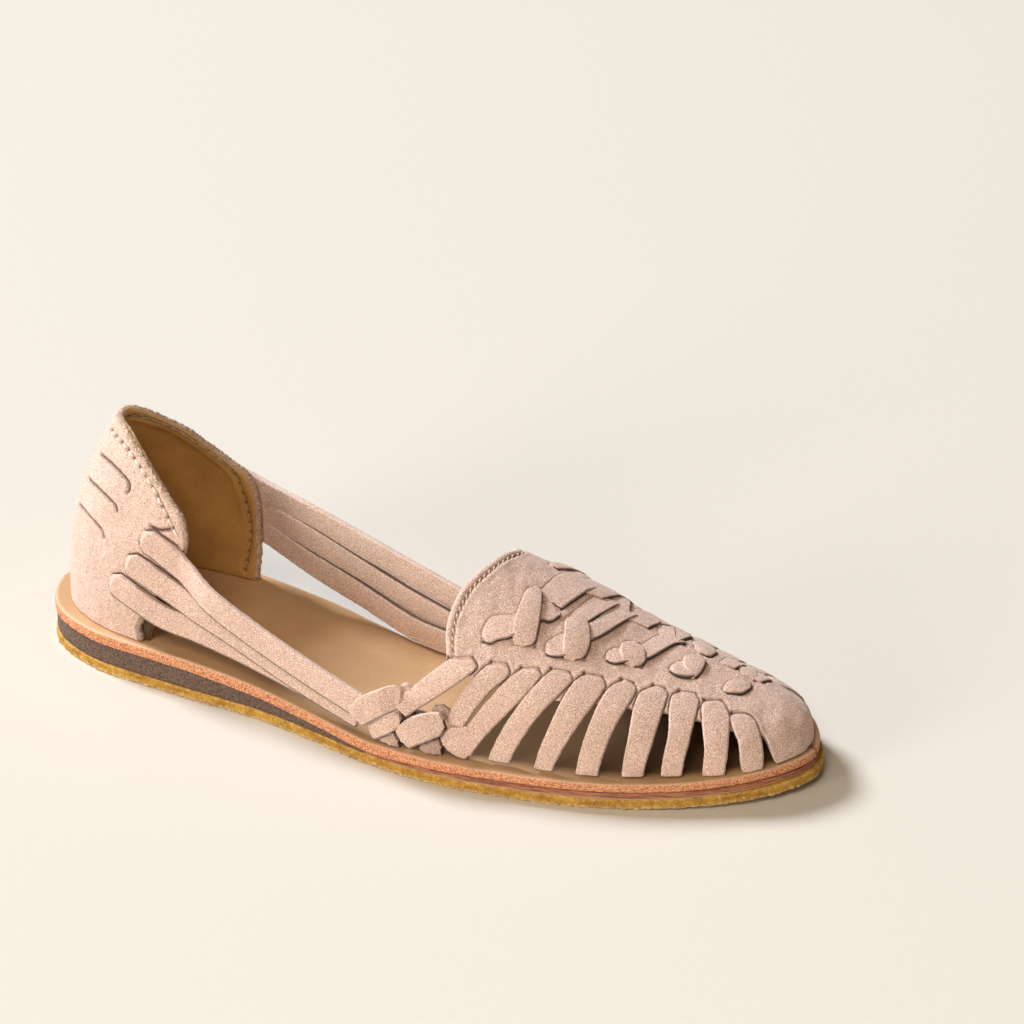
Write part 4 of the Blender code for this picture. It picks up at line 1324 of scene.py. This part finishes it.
def build_counter(suede, lining, strap_outlines):
    """The counter's suede wall with its slits, strap beds and seam, and the lining inside it, with painted
    shade in the furrows and on the lining behind the notch.
    """
    grid = counter_grid(0.0, OUTER_FRONT)
    relief = Relief(grid, ((0.16, 14.0, 61), (0.07, 4.0, 62)))
    points = relief.points
    # Slits, strap beds and stitch holes are pressed in and painted with shade.
    slits = [counter_line(slit, side) for side, _ in SIDES for slit in (*COUNTER_SLITS, WING_SLIT)]
    near = line_distance(points, np.vstack(slits))
    relief.groove(near, width=0.48, depth=0.9, dark=1.15)
    relief.swell(near, height=0.2, at=1.4, width=1.0)
    for side, _ in SIDES:
        for upper, lower in zip(COUNTER_SLITS, COUNTER_SLITS[1:]):
            x = (upper[2][0] + lower[2][0]) / 2 + 0.6
            height = (upper[2][1] + lower[2][1]) / 2
            away = (points - at_station(x, height, side)) * np.array((0.85, 1.0, 1.1))
            relief.height += 0.45 * hump(np.linalg.norm(away, axis=1), 4.6, 4)
    for outline in strap_outlines:
        distance = outline_distance(points, outline)
        relief.press(distance, depth=0.5, soft=0.7)
        relief.groove(distance - 0.15, width=0.42, depth=0.4, dark=1.1)
        relief.swell(distance, height=0.18, at=1.3, width=1.0)
    seams = [rim_seam(side) for side, _ in SIDES]
    near = line_distance(points, np.vstack(seams))
    relief.height -= 0.18 * hump(near, 0.7)
    relief.swell(near, height=0.15, at=1.8, width=1.1)
    holes = line_distance(points, np.vstack([spaced(seam, STITCH_PITCH, 0.0)[0] for seam in seams]))
    relief.groove(holes, width=0.6, depth=0.7, dark=1.2, dark_width=0.58)
    cut = ("last", "left", "right")
    build_wall("counter_suede", grid, SUEDE_THICK, cut, relief, 0.3, suede, "suede", ["upper"], radius=0.7)

    grid = counter_grid(SUEDE_THICK + LINING_THICK, LINING_FRONT)[:, ::-1]
    relief = Relief(grid, ((0.08, 12.0, 63),))
    x, y, z = relief.points.T
    low = z - insole_top(x)
    beyond = x - curve(COUNTER, low, 1) - curve(OUTER_FRONT, low)
    # Painted shade on the lining seen through the outer wing's notch, where the inside is in shadow; its
    # far face gets it too.
    notch = 1.15 * rise(beyond, -2.5, 2.0) * (low < 18.0) * (y < 0)
    relief.crease = notch
    seam = lining_seam()
    near = line_distance(relief.points, seam)
    relief.groove(near, width=0.6, depth=0.35, dark=0.35)
    relief.swell(near, height=0.35, at=2.0, width=1.3)
    holes = line_distance(relief.points, spaced(seam, STITCH_PITCH, 0.0)[0])
    relief.paint_shade(holes, width=0.55, dark=1.1)
    finish = {"made": lining, "slot": "lining_leather", "radius": 0.3, "hidden": notch}
    build_wall("counter_lining", grid, LINING_THICK, cut, relief, 0.25, **finish)


def rim_bead(name, line, normals, made, half_width=1.25, thick=2.7, shade=0.0):
    """Fuzzy rounded border along a line on the wall's edge, with painted shade over it as shade says."""
    widths = np.full(len(line), half_width)
    lift = np.full(len(line), -thick / 2)
    points, faces, edge, _, _ = free_band(line, normals, widths, thick, lift, crown=0.15, radius=1.05)
    points = roughen(points, np.ones(len(edge)), 0.13, 611)
    points = points + 0.12 * jitter(points, 0.6, 620)
    make_piece(name, points, faces, made, "suede", edge=edge * 0.5, crease=np.full(len(edge), shade))


def smoothed(line):
    """The line with its corners rounded; its ends stay."""
    for _ in range(10):
        line = np.vstack((line[:1], (line[:-2] + 2 * line[1:-1] + line[2:]) / 4, line[-1:]))
    return line


def wall_middle(height, back, side):
    """Points in the middle of the counter's wall, and the directions out of it."""
    middle = on_counter(height, back, side, (SUEDE_THICK + LINING_THICK) / 2)
    return middle, unit(on_counter(height, back, side) - middle)


def build_rim(made):
    """Border over the rim, down the inner wing's front and the outer wing's corner and notch."""
    up = np.linspace(32.0, OUTER_FRONT[-1][0] - 1.0, 24)
    reach = np.linspace(0.985, 0.0, 150)
    behind = OUTER_RIM[-1][0] * reach
    ahead = INNER_RIM[-1][0] * reach[-2::-1]
    down = np.linspace(INNER_FRONT[-1][0] - 1.0, 0.6, 100)
    parts = (
        wall_middle(up, curve(OUTER_FRONT, up) - RIM_INSET, -1),
        wall_middle(curve(OUTER_RIM, behind) - RIM_INSET, behind, -1),
        wall_middle(curve(INNER_RIM, ahead) - RIM_INSET, ahead, 1),
        wall_middle(down, curve(INNER_FRONT, down) - RIM_INSET, 1),
    )
    line, normals = (smoothed(np.vstack(rows)) for rows in zip(*parts))
    rim_bead("rim_roll", line, unit(normals), made)
    low = np.linspace(11.5, 0.6, 36)
    # The notch's raw edge gets painted shade.
    rim_bead("notch_edge", *wall_middle(low, curve(OUTER_FRONT, low) + 0.2, -1), made, 1.5, 2.4, 0.45)


# ---------------------------------------------------------------- straps and the twisted corner


def build_straps(suede, flesh_lit):
    """Side straps; returns the outlines of the outer ones' roots on the counter."""
    outlines = []
    for side, word in SIDES:
        for i, (roots, free, out) in enumerate(OUTER_STRAPS if side < 0 else INNER_STRAPS):
            on_wing = [at_station(x, height, side, 0.9) for x, height in roots]
            centre = through([*on_wing, *free], np.linspace(0, 1, 110) ** 1.3)
            run = run_along(centre)
            up = np.tile((0.0, -side * 0.1, 1.0), (len(centre), 1))
            half = STRAP_WIDTH[side] / 2 * (0.5 + 0.5 * np.clip(run / 2.6, 0, 1))
            away = rise(np.maximum(centre[:, 0] - on_wing[-1][0], 0.0), 0.0, 12.0)
            lift = -STRAP_THICK / 2 + out * away - 1.0 * (1 - rise(run, 0.0, 1.4))
            if side > 0:
                centre, half, lift = (values[::-1] for values in (centre, half, lift))
            points, faces, edge, turn, outline = free_band(centre, up, half, STRAP_THICK, lift)
            points = roughen(points, edge, 0.05, 700 + 10 * i)
            # Painted shade: dark lines along the straps' lower edges, and on the lower inner straps' top
            # edges, where the straps shadow each other.
            crease = 1.1 * np.clip(-turn, 0, 1) ** (0.6 if side < 0 else 1.6)
            if side > 0 and i > 0:
                crease = np.maximum(crease, rise(turn, 0.83, 0.17))
            # Inner straps get the paler back-face suede, which also carries painted light.
            made = suede if side < 0 else flesh_lit
            make_piece(
                f"strap_{word}_{i}", points, faces, made, "suede", edge=edge * EDGE_ON_BANDS, crease=crease
            )
            if side < 0:
                keep = int(np.searchsorted(run, 26.0))
                outlines.append(np.vstack((outline[:keep], outline[-keep:])))
    return outlines


def build_corner(suede):
    """Bands of the twisted corner, on the shoe's outer side."""
    for i, (name, *edges, levels) in enumerate(CORNER):
        # Painted shade over the bands that lie in shadow; these also get rougher.
        dark = CORNER_PAINTED_SHADE.get(name, 0.0)
        leather_band(
            name, corner_surface, edges, levels, 1.7, suede, 800 + 10 * i, 40, radius=0.45, crown=0.3,
            rough=0.12 if dark else 0.06, round_ends=0.35, shade_all=dark,
        )


# ---------------------------------------------------------------- stitching


def stitch_row(name, line, out, pitch, length, radius, slant, made):
    """Thread stitches along a line on a surface, each a slim rounded bar; out points off it."""
    rings = 9
    around = 8
    t = -np.cos(math.pi * np.arange(rings) / (rings - 1))[:, None, None]
    body = np.maximum(np.sqrt(np.maximum(1 - np.abs(t) ** 3, 0.0)), 0.05)
    arch = 0.05 + 0.9 * radius * (0.55 - t * t)
    angle = (2 * math.pi * np.arange(around) / around)[:, None]
    points = []
    faces = []
    for i, (centre, along) in enumerate(zip(*spaced(line, pitch))):
        normal = unit(out(centre))
        direction = unit(along + np.cross(normal, along) * slant)
        turned = np.cross(normal, direction) * np.cos(angle) + normal * np.sin(angle)
        points.append(centre + direction * t * length / 2 + normal * arch + turned * radius * body)
        faces += tube_faces(rings, around, i * rings * around)
    make_piece(name, np.array(points).reshape(-1, 3), faces, made, "thread")


def build_stitches():
    """Stitches of the tongue, of both rims and of the lining."""
    pale, dull, tan = (thread_material(name, colour) for name, colour in THREADS)

    def off_last(spot):
        return spot - np.array((160.0, 0.0, 0.0))

    stitch_row("tongue_stitches", on_last(*tongue_seam(), -0.25), off_last, 2.4, 2.0, 0.3, 0.5, dull)
    for side, word in SIDES:

        def off_counter(spot, side=side):
            return np.array((-(60.0 - spot[0]) * 0.3, side * 18.0, 0.0))

        shape = (STITCH_PITCH, STITCH_PITCH - 0.9, 0.42, 0.1)
        stitch_row(f"rim_stitches_{word}", rim_seam(side), off_counter, *shape, pale)

    def off_lining(spot):
        return np.array((40.0 - spot[0], HEEL_AXIS[0] - spot[1], 0.0))

    shape = (STITCH_PITCH, STITCH_PITCH - 0.8, 0.36, 0.15)
    stitch_row("lining_stitches", lining_seam(), off_lining, *shape, tan)


# ---------------------------------------------------------------- room, light and camera


def put(name, data, place, towards):
    """A lamp or camera at a place, looking in a direction."""
    thing = bpy.data.objects.new(name, data)
    thing.location = place
    thing.rotation_mode = "QUATERNION"
    thing.rotation_quaternion = towards.to_track_quat("-Z", "Y")
    bpy.context.scene.collection.objects.link(thing)
    return thing


def build_stage():
    mesh = bpy.data.meshes.new("floor")
    corners = [(x * FLOOR_HALF, y * FLOOR_HALF, 0.0) for x, y in ((-1, -1), (1, -1), (1, 1), (-1, 1))]
    mesh.from_pydata(corners, [], [(0, 1, 2, 3)])
    mesh.materials.append(floor_material())
    floor = bpy.data.objects.new("floor", mesh)
    bpy.context.scene.collection.objects.link(floor)

    world = bpy.data.worlds.new("studio")
    world.use_nodes = True
    background = world.node_tree.nodes["Background"]
    background.inputs["Color"].default_value = WORLD_COLOUR
    background.inputs["Strength"].default_value = WORLD_STRENGTH
    bpy.context.scene.world = world

    for name, place, size, power, colour in LAMPS:
        lamp = bpy.data.lights.new(name, "AREA")
        lamp.shape = "DISK"
        lamp.size = size
        lamp.energy = power
        lamp.color = colour
        put(name, lamp, place, Vector(LAMP_AIM) - Vector(place))


def build_camera():
    azimuth = math.radians(CAMERA_AZIMUTH)
    elevation = math.radians(CAMERA_ELEVATION)
    flat = math.cos(elevation)
    back = Vector((math.sin(azimuth) * flat, -math.cos(azimuth) * flat, math.sin(elevation)))
    right = Vector((math.cos(azimuth), math.sin(azimuth), 0.0))
    up = back.cross(right)
    aim = Vector(to_frame(CAMERA_TARGET)) + (right * CAMERA_AIM_RIGHT + up * CAMERA_AIM_UP) * MM
    lens = bpy.data.cameras.new("camera")
    lens.lens = CAMERA_LENS
    lens.sensor_width = CAMERA_SENSOR
    lens.clip_start = 0.05
    lens.clip_end = 50.0
    bpy.context.scene.camera = put("camera", lens, aim + back * CAMERA_DISTANCE, -back)


def main():
    bpy.context.scene.view_settings.view_transform = "Standard"
    suede = suede_material("suede", SUEDE)
    lining = lining_material()
    build_sole()
    build_panel(suede, build_ribs(suede), build_weave(suede))
    strap_outlines = build_straps(suede, suede_material("suede_flesh_lit", SUEDE_FLESH_LIT))
    build_counter(suede, lining, strap_outlines)
    build_rim(suede_material("suede_raw", SUEDE_RAW, 1.5))
    build_corner(suede)
    build_stitches()
    build_stage()
    build_camera()


main()
